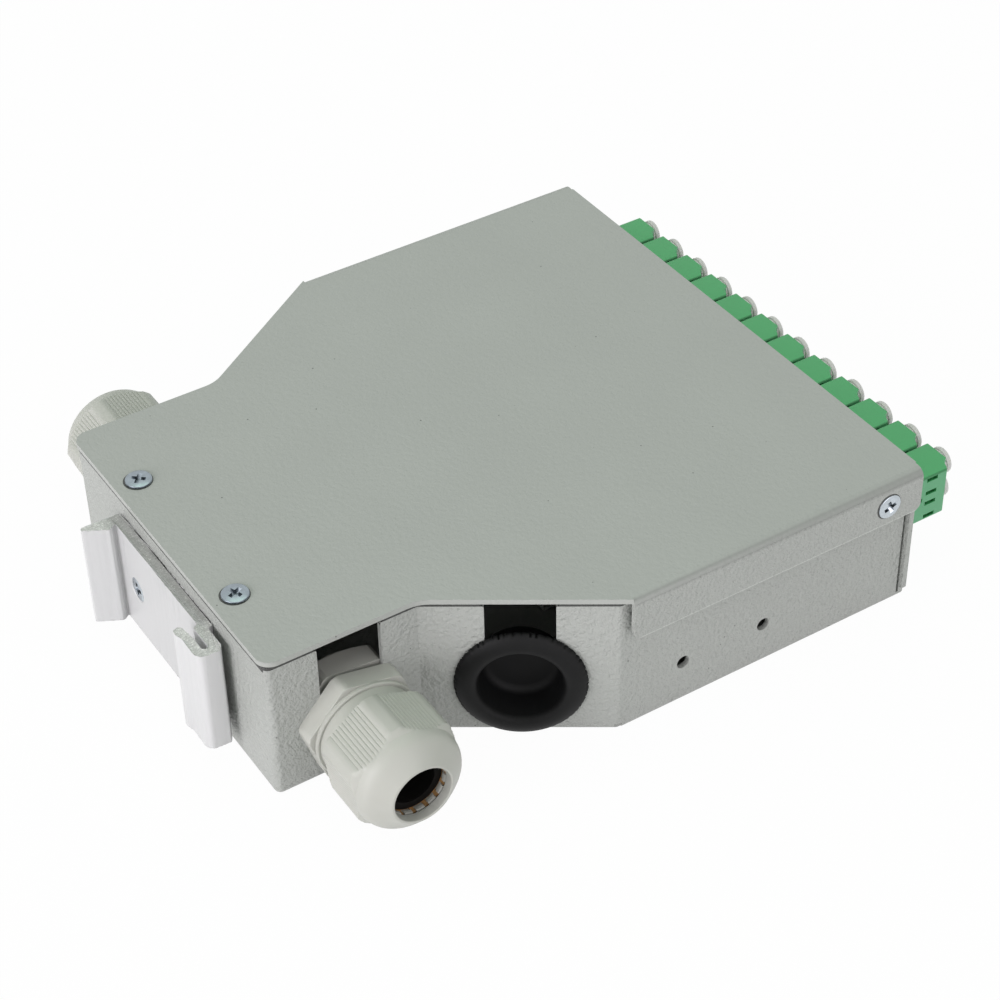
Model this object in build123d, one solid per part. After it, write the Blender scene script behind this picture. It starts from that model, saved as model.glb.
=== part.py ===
from build123d import *
import math
import os

os.makedirs("parts", exist_ok=True)

# Flat fibre termination box for a 35 mm rail. X runs from the rail clip (front) to the
# adapters (rear), Y across the box, Z up from the floor's underside. Millimetres.

# Plan outline, measured at the cover's outer edges
X_NECK = 33.6            # the parallel front part ends here
X_WIDE = 68.8            # the wide rear part starts here
X_REAR = 139.5
HALF_NECK = 41.7
HALF_WIDE = 65.2
HEIGHT = 35.5

# Sheet metal
SHEET = 1.2
EDGE_INSET = 0.6         # walls stand this far inside the cover's edge
REAR_INSET = 0.3
FLANGE_GAP = 1.2         # between a wide wall and the cover flange over it
WALL_TOP_GAP = 0.35      # between the walls' top edge and the cover
BEND_OUT = 1.5           # outside bend radius
FLANGE_BEND = 2.0        # outside radius of the cover's two folds
PANEL_LAP = 1.0          # the rear panel reaches this far past the wide walls
PANEL_GAP = 0.6          # open seam between a wide wall's end and the rear panel
RELIEF = 1.6             # bend relief notches in the floor's corners
FLANGE_DEPTH = 10.2      # height of the cover's side flanges
FLANGE_CORNER = 1.8
FLANGE_FRONT = 0.9       # a flange starts this far before the wide part
FLANGE_REAR = 0.3
COVER_FRONT_R = 3.2
COVER_NECK_R = 8.0
COVER_SHOULDER_R = 1.0

# Screws, all M3 countersunk
SCREW_D = 2.9
THREAD_D = 3.0           # tapped hole
CLEAR_D = 3.4            # clearance hole
HEAD_D = 5.6
HEAD_CONE = 1.35         # height of the countersunk cone
HEAD_CLEAR = 0.05
HEAD_PROUD = 0.6         # how far a cover screw's head stands out of its sheet
TOP_SCREW_X = 5.35
TOP_SCREW_Y = 20.9
SIDE_PROUD = 0.3
SIDE_SCREW_X = 130.8
SIDE_SCREW_Z = HEIGHT - 5.8
SCREW_LONG = 6.0
CLIP_SCREW_LONG = 7.5
TAB_HALF = 7.0           # half width of the inward tabs under the top screws
TAB_LONG = 10.5

# Rail clip, an aluminium extrusion cut to length
CLIP_Z0 = 4.5
CLIP_Z1 = HEIGHT - 6.2
CLIP_PLATE = 2.6
CLIP_DEEP = 9.3          # from the front wall to the fixed leg's tip
CLIP_SCREW_Y = (11.2, -10.2)
CLIP_SCREW_Z = HEIGHT / 2 - 1.15
# Section seen from above, its back on the front wall at x = 0: the fixed leg, the plate,
# then the springing hook
CLIP_SECTION = (
    (0, 20.1), (-0.5, 20.8), (-8.8, 21.0), (-CLIP_DEEP, 20.6), (-CLIP_DEEP, 20.0),
    (-4.7, 17.5), (-4.1, 17.8), (-CLIP_PLATE, 19.3), (-CLIP_PLATE, -18.0), (-3.7, -18.4),
    (-3.7, -24.6), (-4.4, -25.2), (-5.1, -24.6), (-5.0, -21.4), (-5.5, -17.2),
    (-6.2, -16.6), (-7.4, -17.0), (-7.5, -18.4), (-7.0, -20.0), (-7.1, -25.4),
    (-6.2, -26.8), (-2.2, -27.0), (-1.4, -25.6), (-1.3, -20.2), (0, -19.4))

# Cable entries
GLAND_Z = 12.7
PLUG_Z = 13.5
SLOT_HALF = 6.95         # half width of the slot from a hole up to the wall's edge
SLOT_CORNER = 1.0
GLAND_X = 18.6
PLUG_ALONG = 19.5        # plug's place along the slanted wall, from the neck corner
PLUG_HOLE_D = 20.0

# Cable gland
THREAD_OUT_D = 18.6
GLAND_HOLE_D = THREAD_OUT_D + 0.4
GLAND_BORE_D = THREAD_OUT_D - 5.0
HEX_FLATS = THREAD_OUT_D + 3.6
HEX_TURN = -12.0         # degrees off a level top flat, as it happens to be tightened
HEX_THICK = 4.3
HEX_CHAMFER = 0.15
HEX_REACH = HEX_FLATS / 2 + 1.5
THREAD_IN_LONG = 9.0     # threaded spigot behind the hexagon
COLLAR_RING_D = 22.4
COLLAR_RING_LONG = 0.9
SHOULDER_D = 20.8        # smooth shoulder between the ring and the dome nut
SHOULDER_LONG = 3.0
FINGER_COUNT = 15
FINGER_R_OUT = 7.9
FINGER_TIP_R = 5.5       # the fingers' tips turn inwards in front of the seal
FINGER_TIP = 1.5
FINGER_LONG = 9.8
FINGER_GAP = 0.9
OUT_THREAD_D = 18.8
OUT_THREAD_LONG = 8.4
NUT_START = 8.5          # from the wall to the tightened dome nut's hexagonal end
NUT_OUT = {"near": 0, "far": 3.5}          # how far each is left unscrewed
NUT_TURN = {"near": -23.0, "far": 10.0}    # degrees off a level top flat
NUT_FLATS = 22.5
NUT_CORNER_R = 12.4
# Turned outline of the dome nut: (distance from the wall, radius)
NUT_TURNED = ((18.8, 12.4), (20.1, 11.3), (22.0, 10.9), (23.5, 9.7), (25.4, 7.2), (25.9, 6.6))
MOUTH_R = 6.2
NUT_CLEAR = 0.35
SEAL_OUT_R = 6.6
SEAL_IN_R = 4.9
SEAL_LONG = 9.0
LOCKNUT_FLATS = THREAD_OUT_D + 3.2
LOCKNUT_TURN = -6.0
LOCKNUT_REACH = LOCKNUT_FLATS / 2 + 1.4
LOCKNUT_THICK = 5.6
LOCKNUT_CLEAR = 0.05

# Rubber blanking plug
PLUG_R = 13.3
PLUG_RIM = 2.2
PLUG_NECK_R = 9.85
PLUG_LIP_R = 11.2
PLUG_LIP = 1.8
PLUG_RECESS_R = 8.5
PLUG_RECESS_TAPER = 0.5
PLUG_RECESS_DEEP = 8.0
PLUG_MEMBRANE = 1.4

# Two hole pattern low in each wide wall
SIDE_HOLE_X = (81.7, 101.7)
SIDE_HOLE_Z = 10.5
SIDE_HOLE_D = 3.0

# Adapters: two ports one above the other, latch side towards -Y
ADAPTER_COUNT = 12
SIDE_OUT = HALF_WIDE - SHEET - FLANGE_GAP      # outer face of a wide wall
ROW_MARGIN = 5.14        # from a wide wall's outer face to the row's end
ADAPTER_PITCH = 2 * (SIDE_OUT - ROW_MARGIN) / ADAPTER_COUNT
ADAPTER_W = ADAPTER_PITCH - 0.51
ADAPTER_H = 11.8
ADAPTER_Z = HEIGHT / 2 + 0.65
ADAPTER_END = 155.5
ADAPTER_LONG = 25.0
WINDOW_CLEAR = 0.1
STOP_LONG = 1.5
STOP_RISE = 1.2
PORT_PITCH = 6.25
PORT_SIZE = 4.8
PORT_DEEP = 8.6
PORT_OFF_Y = 0.9         # ports sit towards +Y, the latch channel is on the -Y side
LATCH_W = 2.6
LATCH_DEEP = 1.5
WINDOW_SLOT = (2.9, 0.75)
WINDOW_SLOT_OFF = 1.75   # latch windows lie this far above and below a port's axis
WINDOW_SLOT_END = 6.0    # centre of a latch window from the adapter's end
MID_SLOT_LONG = 2.2
MID_SLOT_END = 9.4
# Where each end is cut back on the latch side: (distance from the end, Y)
END_STEP = ((0.0, -1.6), (1.1, -2.35), (2.15, -4.55))

# Dust caps
CAP_DISC_R = 2.95
CAP_DISC = 1.2
CAP_NECK = 0.5
CAP_STEM = 4.1
CAP_STEM_LONG = 6.5

# Splice holder and its adhesive pad
HOLDER_X = 72.0
HOLDER_LONG = 26.0
HOLDER_RIBS = 13
HOLDER_PITCH = 4.4
HOLDER_RIB = 1.2
HOLDER_RIB_H = 7.5
HOLDER_BASE = 1.5
PAD_THICK = 1.0
PAD_INSET = 1.5

# Cable tie bridges lanced out of the floor
BRIDGE_X = 46.0
BRIDGE_Y = 26.0
BRIDGE_LONG = 14.0
BRIDGE_W = 5.0
BRIDGE_RISE = 3.0

COVER_UNDER = HEIGHT - SHEET
WALL_TOP = COVER_UNDER - WALL_TOP_GAP
NECK_OUT = HALF_NECK - EDGE_INSET
FRONT_OUT = EDGE_INSET
REAR_OUT = X_REAR - REAR_INSET
MID_X = (FRONT_OUT - CLIP_DEEP + ADAPTER_END + CAP_NECK + CAP_DISC) / 2
SLANT = math.hypot(X_WIDE - X_NECK, HALF_WIDE - HALF_NECK)
SLANT_X = (X_WIDE - X_NECK) / SLANT
SLANT_Y = (HALF_WIDE - HALF_NECK) / SLANT


def plan(front, neck, slant, wide, rear):
    """Corner points of the plan outline, each side moved in by its own amount."""
    reach = SLANT_Y * X_NECK - SLANT_X * HALF_NECK + slant
    y_neck, y_wide = HALF_NECK - neck, HALF_WIDE - wide
    x_neck = (reach + SLANT_X * y_neck) / SLANT_Y
    x_wide = (reach + SLANT_X * y_wide) / SLANT_Y
    far = [(front, y_neck), (x_neck, y_neck), (x_wide, y_wide), (X_REAR - rear, y_wide)]
    return far + [(x, -y) for x, y in reversed(far)]


def outline(points, front_r, neck_r, shoulder_r):
    """Face of the plan outline with its upright corners rounded; 0 leaves one sharp."""
    face = make_face(Polyline(*points, close=True))
    for radius, picks in ((front_r, (0, 7)), (neck_r, (1, 6)), (shoulder_r, (2, 5))):
        spots = [points[i] for i in picks]
        near = [v for v in face.vertices()
                if min(math.hypot(v.X - x, v.Y - y) for x, y in spots) < 0.01]
        face = fillet(near, radius) if radius else face
    return face


def turned(profile, about=Axis.X):
    """Solid of revolution of a closed (along, radius) profile about X."""
    face = make_face(Polyline(*profile, close=True))
    return revolve(face, about)


def side_frame(x, y, z, out_x, out_y):
    """Location whose local X is an outward direction in plan and local Y is level."""
    normal = Vector(out_x, out_y, 0)
    return Plane(origin=(x, y, z), x_dir=normal, z_dir=(0, 0, 1)).location


def screw(length, reach):
    """Countersunk screw along X, its head's top at x = reach, its tip towards -X."""
    r_head, r_shank = HEAD_D / 2, SCREW_D / 2
    return turned([(reach, 0), (reach, r_head), (reach - HEAD_CONE, r_shank),
                   (reach - length, r_shank), (reach - length, 0)])


def sink(outer, inner, proud=0):
    """Countersunk clearance hole along X from x = outer inwards past x = inner."""
    cone_r = CLEAR_D / 2
    slope = (HEAD_D - SCREW_D) / 2 / HEAD_CONE
    wide = HEAD_D / 2 + HEAD_CLEAR - proud * slope
    depth = (wide - cone_r) / slope
    return turned([(outer + 3, 0), (outer + 3, wide), (outer, wide),
                   (outer - depth, cone_r), (inner - 3, cone_r), (inner - 3, 0)])


def tapped(inner):
    hole = Pos(inner, 0, 0) * Rot(0, 90, 0)
    return hole * Cylinder(THREAD_D / 2, 8)


def keyhole(diameter, height):
    """Round entry hole at a height, with a slot up to the wall's edge, cut along X."""
    hole = Rot(0, 90, 0) * Cylinder(diameter / 2, 8)
    rise = WALL_TOP - height
    wide = SLOT_HALF + SLOT_CORNER
    mouth = make_face(Polyline(
        (-wide, 1), (-wide, 0), (-SLOT_HALF, -SLOT_CORNER), (-SLOT_HALF, -rise),
        (SLOT_HALF, -rise), (SLOT_HALF, -SLOT_CORNER), (wide, 0), (wide, 1), close=True))
    return hole + Pos(0, 0, rise) * extrude(Plane.YZ * mouth, amount=4, both=True)


def plug_frame(side):
    """Frame on the outside of a slanted wall at its entry hole; side is -1 or +1."""
    corner_x = X_NECK + EDGE_INSET * SLANT_Y
    corner_y = HALF_NECK - EDGE_INSET * SLANT_X
    x = corner_x + PLUG_ALONG * SLANT_X
    y = corner_y + PLUG_ALONG * SLANT_Y
    return side_frame(x, side * y, PLUG_Z, -SLANT_Y, side * SLANT_X)


def gland_frame(side):
    return side_frame(GLAND_X, side * NECK_OUT, GLAND_Z, 0, side)


def side_screw_frame(side, y):
    return side_frame(SIDE_SCREW_X, side * y, SIDE_SCREW_Z, 0, side)


def top_screw_frame(y, z):
    return Plane(origin=(TOP_SCREW_X, y, z), x_dir=(0, 0, 1), z_dir=(0, 1, 0)).location


def clip_screw_frame(y):
    return side_frame(0, y, CLIP_SCREW_Z, -1, 0)


def adapter_y(index):
    return (index - (ADAPTER_COUNT - 1) / 2) * ADAPTER_PITCH


def build_tray():
    """Folded sheet tray: floor, front, neck, slanted and wide walls, rear panel."""
    out_pts = plan(EDGE_INSET, EDGE_INSET, EDGE_INSET, HALF_WIDE - SIDE_OUT, REAR_INSET)
    in_pts = plan(EDGE_INSET + SHEET, EDGE_INSET + SHEET, EDGE_INSET + SHEET,
                  HALF_WIDE - SIDE_OUT + SHEET, REAR_INSET + SHEET)
    skin = extrude(outline(out_pts, BEND_OUT, 0, BEND_OUT), amount=WALL_TOP)
    skin = fillet(skin.faces().sort_by(Axis.Z)[0].edges(), BEND_OUT - 0.2)
    hollow = extrude(outline(in_pts, 0, BEND_OUT, 0), amount=HEIGHT)
    tray = skin - Pos(0, 0, SHEET) * hollow

    # The rear panel is folded up on its own, outside the wide walls' ends
    panel_in = REAR_OUT - SHEET
    panel_z = 2 * BEND_OUT
    for side in (-1, 1):
        seam = Pos(panel_in - PANEL_GAP / 2, side * SIDE_OUT, HEIGHT / 2 + BEND_OUT)
        tray -= seam * Box(PANEL_GAP, 2 * SHEET + 1.6, HEIGHT)
        lap = Pos(REAR_OUT - SHEET / 2, side * SIDE_OUT, (panel_z + WALL_TOP) / 2)
        tray += lap * Box(SHEET, 2 * PANEL_LAP, WALL_TOP - panel_z)
        shoulder_x, shoulder_y = out_pts[5][0], side * SIDE_OUT
        tray -= Pos(shoulder_x, shoulder_y, 0) * Box(RELIEF, RELIEF, 2 * RELIEF)

    # Inward tabs that carry the cover's front screws
    for y in (-TOP_SCREW_Y, TOP_SCREW_Y):
        arm = Plane.XZ * make_face(Polyline(
            (FRONT_OUT, WALL_TOP - 2), (FRONT_OUT, COVER_UNDER - 0.9),
            (FRONT_OUT + 0.9, COVER_UNDER), (FRONT_OUT + TAB_LONG, COVER_UNDER),
            (FRONT_OUT + TAB_LONG, COVER_UNDER - SHEET),
            (FRONT_OUT + SHEET + 0.5, COVER_UNDER - SHEET),
            (FRONT_OUT + SHEET, COVER_UNDER - SHEET - 0.5),
            (FRONT_OUT + SHEET, WALL_TOP - 2), close=True))
        tray += Pos(0, y, 0) * extrude(arm, amount=TAB_HALF, both=True)
        tray -= top_screw_frame(y, 0) * tapped(COVER_UNDER - SHEET)

    # Cable entries
    for side in (-1, 1):
        tray -= gland_frame(side) * keyhole(GLAND_HOLE_D, GLAND_Z)
        tray -= plug_frame(side) * keyhole(PLUG_HOLE_D, PLUG_Z)

    # Wide walls: flange screw's thread and the two small holes
    for side in (-1, 1):
        tray -= side_screw_frame(side, 0) * tapped(SIDE_OUT - SHEET)
        for x in SIDE_HOLE_X:
            hole = Pos(x, side * SIDE_OUT, SIDE_HOLE_Z) * Rot(90, 0, 0)
            tray -= hole * Cylinder(SIDE_HOLE_D / 2, 8)

    # Front wall: threads for the rail clip
    for y in CLIP_SCREW_Y:
        tray -= clip_screw_frame(y) * tapped(-FRONT_OUT - SHEET)

    # Rear panel: one long window for all the adapters
    window_w = (ADAPTER_COUNT - 1) * ADAPTER_PITCH + ADAPTER_W + 2 * WINDOW_CLEAR
    window_h = ADAPTER_H + 2 * WINDOW_CLEAR
    tray -= Pos(REAR_OUT, 0, ADAPTER_Z) * Box(8, window_w, window_h)

    # Floor: lanced bridges for cable ties
    for side in (-1, 1):
        place = Pos(BRIDGE_X, side * BRIDGE_Y, 0)
        gap = Box(BRIDGE_LONG - 2, BRIDGE_W + 4, 4 * SHEET)
        arch = Plane.XZ * make_face(Polyline(
            (-BRIDGE_LONG / 2, 0), (-BRIDGE_LONG / 2 + 3, BRIDGE_RISE),
            (BRIDGE_LONG / 2 - 3, BRIDGE_RISE), (BRIDGE_LONG / 2, 0),
            (BRIDGE_LONG / 2, SHEET), (BRIDGE_LONG / 2 - 2.6, BRIDGE_RISE + SHEET),
            (-BRIDGE_LONG / 2 + 2.6, BRIDGE_RISE + SHEET), (-BRIDGE_LONG / 2, SHEET),
            close=True))
        tray -= place * gap
        tray += place * extrude(arch, amount=BRIDGE_W / 2, both=True)
    return tray


def build_cover():
    """Flat cover with a folded flange along each wide side."""
    face = outline(plan(0, 0, 0, 0, 0), COVER_FRONT_R, COVER_NECK_R, COVER_SHOULDER_R)
    cover = Pos(0, 0, COVER_UNDER) * extrude(face, amount=SHEET)
    strip = FLANGE_BEND + 1.0
    x0 = X_WIDE - FLANGE_FRONT
    long = X_REAR - FLANGE_REAR - x0
    for side in (-1, 1):
        trim = Pos(x0 + long / 2 + 2, side * (HALF_WIDE - strip / 2 + 1), HEIGHT)
        cover -= trim * Box(long + 4, strip + 2, 4)
        rise = FLANGE_DEPTH
        y_in, y_out = HALF_WIDE - SHEET, HALF_WIDE
        start = HALF_WIDE - strip
        mid = FLANGE_BEND * (1 - math.sqrt(0.5))
        low = (FLANGE_BEND - SHEET) * (1 - math.sqrt(0.5))
        path = [
            Line((start, HEIGHT), (y_out - FLANGE_BEND, HEIGHT)),
            ThreePointArc((y_out - FLANGE_BEND, HEIGHT), (y_out - mid, HEIGHT - mid),
                          (y_out, HEIGHT - FLANGE_BEND)),
            Line((y_out, HEIGHT - FLANGE_BEND), (y_out, HEIGHT - rise)),
            Line((y_out, HEIGHT - rise), (y_in, HEIGHT - rise)),
            Line((y_in, HEIGHT - rise), (y_in, HEIGHT - FLANGE_BEND)),
            ThreePointArc((y_in, HEIGHT - FLANGE_BEND), (y_in - low, COVER_UNDER - low),
                          (y_out - FLANGE_BEND, COVER_UNDER)),
            Line((y_out - FLANGE_BEND, COVER_UNDER), (start, COVER_UNDER)),
            Line((start, COVER_UNDER), (start, HEIGHT)),
        ]
        flange = Pos(x0, 0, 0) * extrude(Plane.YZ * make_face(path), amount=long)
        if side < 0:
            flange = mirror(flange, Plane.XZ)
        ends = [e for e in flange.edges().filter_by(Axis.Y)
                if abs(e.center().Z - (HEIGHT - rise)) < 0.01]
        flange = fillet(ends, FLANGE_CORNER)
        cover += flange
        cover -= side_screw_frame(side, 0) * sink(HALF_WIDE, y_in, SIDE_PROUD)
    for y in (-TOP_SCREW_Y, TOP_SCREW_Y):
        cover -= top_screw_frame(y, 0) * sink(HEIGHT, COVER_UNDER, HEAD_PROUD)
    return cover


def build_clip():
    """Rail clip extrusion: fixed grooved leg on +Y, springing hook on -Y."""
    section = make_face(Polyline(*CLIP_SECTION, close=True))
    clip = extrude(section, amount=CLIP_Z1 - CLIP_Z0)
    clip = Pos(FRONT_OUT, 0, CLIP_Z0) * clip
    for y in CLIP_SCREW_Y:
        clip -= clip_screw_frame(y) * sink(CLIP_PLATE - FRONT_OUT, -FRONT_OUT)
    return clip


def hexagon(flats, thick, ease, reach):
    """Hexagonal prism along X from x = 0, level flat on top, corners turned to a radius."""
    prism = extrude(Plane.YZ * RegularPolygon(flats / math.sqrt(3), 6), amount=thick)
    blank = turned([(0, 0), (0, reach), (thick - ease, reach),
                    (thick, reach - 2 * ease), (thick, 0)])
    return prism & blank


def build_gland_body():
    """Gland body along X, its hexagon's back on the wall at x = 0."""
    r_in, r_out, bore = THREAD_OUT_D / 2, OUT_THREAD_D / 2, GLAND_BORE_D / 2
    ring = HEX_THICK + COLLAR_RING_LONG
    thread = ring + OUT_THREAD_LONG
    tips = thread + FINGER_LONG
    core = turned([(-THREAD_IN_LONG, bore), (-THREAD_IN_LONG, r_in), (HEX_THICK, r_in),
                   (HEX_THICK, COLLAR_RING_D / 2), (ring, COLLAR_RING_D / 2),
                   (ring, SHOULDER_D / 2), (ring + SHOULDER_LONG, SHOULDER_D / 2),
                   (ring + SHOULDER_LONG, r_out), (thread, r_out), (thread, FINGER_R_OUT),
                   (tips, FINGER_R_OUT), (tips, FINGER_TIP_R),
                   (tips - FINGER_TIP, FINGER_TIP_R), (tips - FINGER_TIP, bore)])
    hexa = Rot(HEX_TURN, 0, 0) * hexagon(HEX_FLATS, HEX_THICK, HEX_CHAMFER, HEX_REACH)
    hexa -= Rot(0, 90, 0) * Cylinder(bore, 2 * HEX_THICK)
    body = core + hexa
    slit = Pos(thread + FINGER_LONG / 2 + 0.6, 10, 0) * Box(FINGER_LONG, 20, FINGER_GAP)
    for i in range(FINGER_COUNT):
        body -= Rot(i * 360 / FINGER_COUNT, 0, 0) * slit
    return body


def build_dome_nut(turn):
    """Dome nut along X: hexagon with turned corners, then a dome round the mouth."""
    tip = NUT_TURNED[-1][0]
    grip = Plane.YZ * Rot(0, 0, turn) * RegularPolygon(NUT_FLATS / math.sqrt(3), 6)
    blank = turned([(NUT_START, 0), (NUT_START, NUT_CORNER_R), *NUT_TURNED, (tip, 0)])
    nut = (Pos(NUT_START, 0, 0) * extrude(grip, amount=tip - NUT_START)) & blank
    bore, seat = OUT_THREAD_D / 2 + NUT_CLEAR, FINGER_R_OUT + NUT_CLEAR
    thread = HEX_THICK + COLLAR_RING_LONG + OUT_THREAD_LONG + NUT_CLEAR
    fingers = thread + FINGER_LONG
    return nut - turned([(NUT_START - 1, 0), (NUT_START - 1, bore), (thread, bore),
                         (thread, seat), (fingers, seat), (fingers, MOUTH_R),
                         (tip + 1, MOUTH_R), (tip + 1, 0)])


def build_seal():
    """Sleeve seal inside the gland's fingers."""
    fingers = HEX_THICK + COLLAR_RING_LONG + OUT_THREAD_LONG + FINGER_LONG
    end = fingers - FINGER_TIP - 0.1
    return turned([(end - SEAL_LONG, SEAL_IN_R), (end - SEAL_LONG, SEAL_OUT_R),
                   (end, SEAL_OUT_R), (end, SEAL_IN_R)])


def build_locknut():
    """Plastic locknut on the gland's spigot, its face on the wall's inside."""
    nut = hexagon(LOCKNUT_FLATS, LOCKNUT_THICK, 0.8, LOCKNUT_REACH)
    nut = Pos(-SHEET, 0, 0) * Rot(LOCKNUT_TURN, 0, 180) * nut
    bore_r = THREAD_OUT_D / 2 + LOCKNUT_CLEAR
    return nut - Rot(0, 90, 0) * Cylinder(bore_r, 4 * LOCKNUT_THICK)


def build_plug():
    """Blanking plug along X: cupped rim outside, neck in the hole, lip inside."""
    x_lip = -SHEET - 0.1
    floor = PLUG_RIM - PLUG_RECESS_DEEP
    low = PLUG_RECESS_R - PLUG_RECESS_TAPER
    return turned([
        (0, PLUG_NECK_R), (0, PLUG_R), (1.2, PLUG_R), (PLUG_RIM, PLUG_R - 2.0),
        (PLUG_RIM, PLUG_RECESS_R), (floor, low), (floor, 0), (floor - PLUG_MEMBRANE, 0),
        (floor - PLUG_MEMBRANE, low), (x_lip - PLUG_LIP, PLUG_NECK_R),
        (x_lip - PLUG_LIP * 0.4, PLUG_LIP_R), (x_lip, PLUG_LIP_R), (x_lip, PLUG_NECK_R)])


def build_adapter():
    """Duplex adapter centred on Y and Z, between its two ends along X."""
    mid_x = ADAPTER_END - ADAPTER_LONG / 2
    body = Pos(mid_x, 0, 0) * Box(ADAPTER_LONG, ADAPTER_W, ADAPTER_H)
    half_h = ADAPTER_H / 2
    stop = Pos(REAR_OUT + STOP_LONG / 2, 0, 0)
    body += stop * Box(STOP_LONG, ADAPTER_W, ADAPTER_H + 2 * STOP_RISE)
    latch_face = -ADAPTER_W / 2
    cuts = []
    for end, inward in ((ADAPTER_END, -1), (ADAPTER_END - ADAPTER_LONG, 1)):
        for port in (-PORT_PITCH / 2, PORT_PITCH / 2):
            deep = end + inward * PORT_DEEP / 2
            cuts.append(Pos(deep, PORT_OFF_Y, port) * Box(PORT_DEEP, PORT_SIZE, PORT_SIZE))
            if inward < 0:
                key_y = PORT_OFF_Y - (PORT_SIZE + LATCH_DEEP) / 2
                cuts.append(Pos(deep, key_y, port) * Box(PORT_DEEP, LATCH_DEEP, LATCH_W))
    for port in (-PORT_PITCH / 2, PORT_PITCH / 2):
        for off in (-WINDOW_SLOT_OFF, WINDOW_SLOT_OFF):
            spot = Pos(ADAPTER_END - WINDOW_SLOT_END, latch_face, port + off)
            cuts.append(spot * Box(WINDOW_SLOT[0], 2.4, WINDOW_SLOT[1]))
    spot = Pos(ADAPTER_END - MID_SLOT_END, latch_face, 0)
    cuts.append(spot * Box(MID_SLOT_LONG, 2.4, WINDOW_SLOT[1]))
    step = [(ADAPTER_END - back, y) for back, y in END_STEP]
    last = ADAPTER_END - END_STEP[-1][0]
    step += [(last, -ADAPTER_W), (ADAPTER_END + 1, -ADAPTER_W),
             (ADAPTER_END + 1, END_STEP[0][1])]
    wedge = make_face(Polyline(*step, close=True))
    cuts.append(extrude(wedge, amount=ADAPTER_H, both=True))
    for cut in cuts:
        body -= cut
    return body


def build_cap(disc):
    """Dust cap along X: grip disc outside the port at x = 0, square stem inside."""
    grip = Pos(CAP_NECK, 0, 0) * extrude(Plane.YZ * disc, amount=CAP_DISC)
    stem = Pos((CAP_NECK - CAP_STEM_LONG) / 2, 0, 0)
    return grip + stem * Box(CAP_NECK + CAP_STEM_LONG, CAP_STEM, CAP_STEM)


def build_holder():
    """Comb for heat-shrink splice sleeves, one moulding."""
    width = (HOLDER_RIBS - 1) * HOLDER_PITCH + HOLDER_RIB
    floor_z = SHEET + PAD_THICK
    holder = Pos(HOLDER_X + HOLDER_LONG / 2, 0, floor_z + HOLDER_BASE / 2) * Box(
        HOLDER_LONG, width, HOLDER_BASE)
    for i in range(HOLDER_RIBS):
        y = (i - (HOLDER_RIBS - 1) / 2) * HOLDER_PITCH
        rib = make_face(Polyline(
            (y - HOLDER_RIB / 2, 0), (y - HOLDER_RIB / 2, HOLDER_RIB_H - 1.6),
            (y - HOLDER_RIB * 0.75, HOLDER_RIB_H - 0.9), (y, HOLDER_RIB_H),
            (y + HOLDER_RIB * 0.75, HOLDER_RIB_H - 0.9),
            (y + HOLDER_RIB / 2, HOLDER_RIB_H - 1.6), (y + HOLDER_RIB / 2, 0), close=True))
        wall = Pos(HOLDER_X + 1, 0, floor_z + HOLDER_BASE) * extrude(
            Plane.YZ * rib, amount=HOLDER_LONG - 2)
        holder += wall
    return holder


def build_pad():
    width = (HOLDER_RIBS - 1) * HOLDER_PITCH + HOLDER_RIB - 2 * PAD_INSET
    place = Pos(HOLDER_X + HOLDER_LONG / 2, 0, SHEET + PAD_THICK / 2)
    return place * Box(HOLDER_LONG - 2 * PAD_INSET, width, PAD_THICK)


def save(name, *solids):
    """Write one node, moved so that the frame's origin is mid length under the floor."""
    moved = [Pos(-MID_X, 0, 0) * each.solid() for each in solids]
    export_step(Compound(children=moved), f"parts/{name}.step")


save("tray", build_tray())
save("cover", build_cover())
save("rail_clip", build_clip())

save("clip_screws", *[clip_screw_frame(y) * screw(CLIP_SCREW_LONG, CLIP_PLATE - FRONT_OUT)
                      for y in CLIP_SCREW_Y])
save("top_screws", *[top_screw_frame(y, 0) * screw(SCREW_LONG, HEIGHT + HEAD_PROUD)
                     for y in (-TOP_SCREW_Y, TOP_SCREW_Y)])
save("side_screws", *[side_screw_frame(side, 0) * screw(SCREW_LONG, HALF_WIDE + SIDE_PROUD)
                      for side in (-1, 1)])

gland_body, seal, locknut, plug = build_gland_body(), build_seal(), build_locknut(), build_plug()
for word, side in (("near", -1), ("far", 1)):
    spot = gland_frame(side)
    save(f"gland_body_{word}", spot * gland_body)
    nut = Pos(NUT_OUT[word], 0, 0) * build_dome_nut(NUT_TURN[word])
    save(f"dome_nut_{word}", spot * nut)
    save(f"gland_seal_{word}", spot * seal)
    save(f"locknut_{word}", spot * locknut)
    save(f"blanking_plug_{word}", plug_frame(side) * plug)

adapter = build_adapter()
cap = build_cap(RegularPolygon(CAP_DISC_R, 12))
inner_cap = build_cap(RegularPolygon(CAP_DISC_R, 8))
inner_caps = []
for i in range(ADAPTER_COUNT):
    y = adapter_y(i)
    save(f"adapter_{i + 1:02d}", Pos(0, y, ADAPTER_Z) * adapter)
    for level, off in (("low", -PORT_PITCH / 2), ("high", PORT_PITCH / 2)):
        port_y, port_z = y + PORT_OFF_Y, ADAPTER_Z + off
        save(f"dust_cap_{i + 1:02d}_{level}", Pos(ADAPTER_END, port_y, port_z) * cap)
        inner = Pos(ADAPTER_END - ADAPTER_LONG, port_y, port_z) * Rot(0, 0, 180)
        inner_caps.append(inner * inner_cap)
save("inner_dust_caps", *inner_caps)

save("splice_holder", build_holder())
save("holder_pad", build_pad())
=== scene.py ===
"""Looks of a flat fibre box for a 35 mm rail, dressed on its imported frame.

The frame's origin lies mid length under the floor: +X runs from the rail clip to the
adapters, +Y to the far side and +Z up. All lengths are in metres.
"""

import logging
import math
from collections.abc import Sequence
from dataclasses import dataclass, field
from enum import Enum

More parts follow.
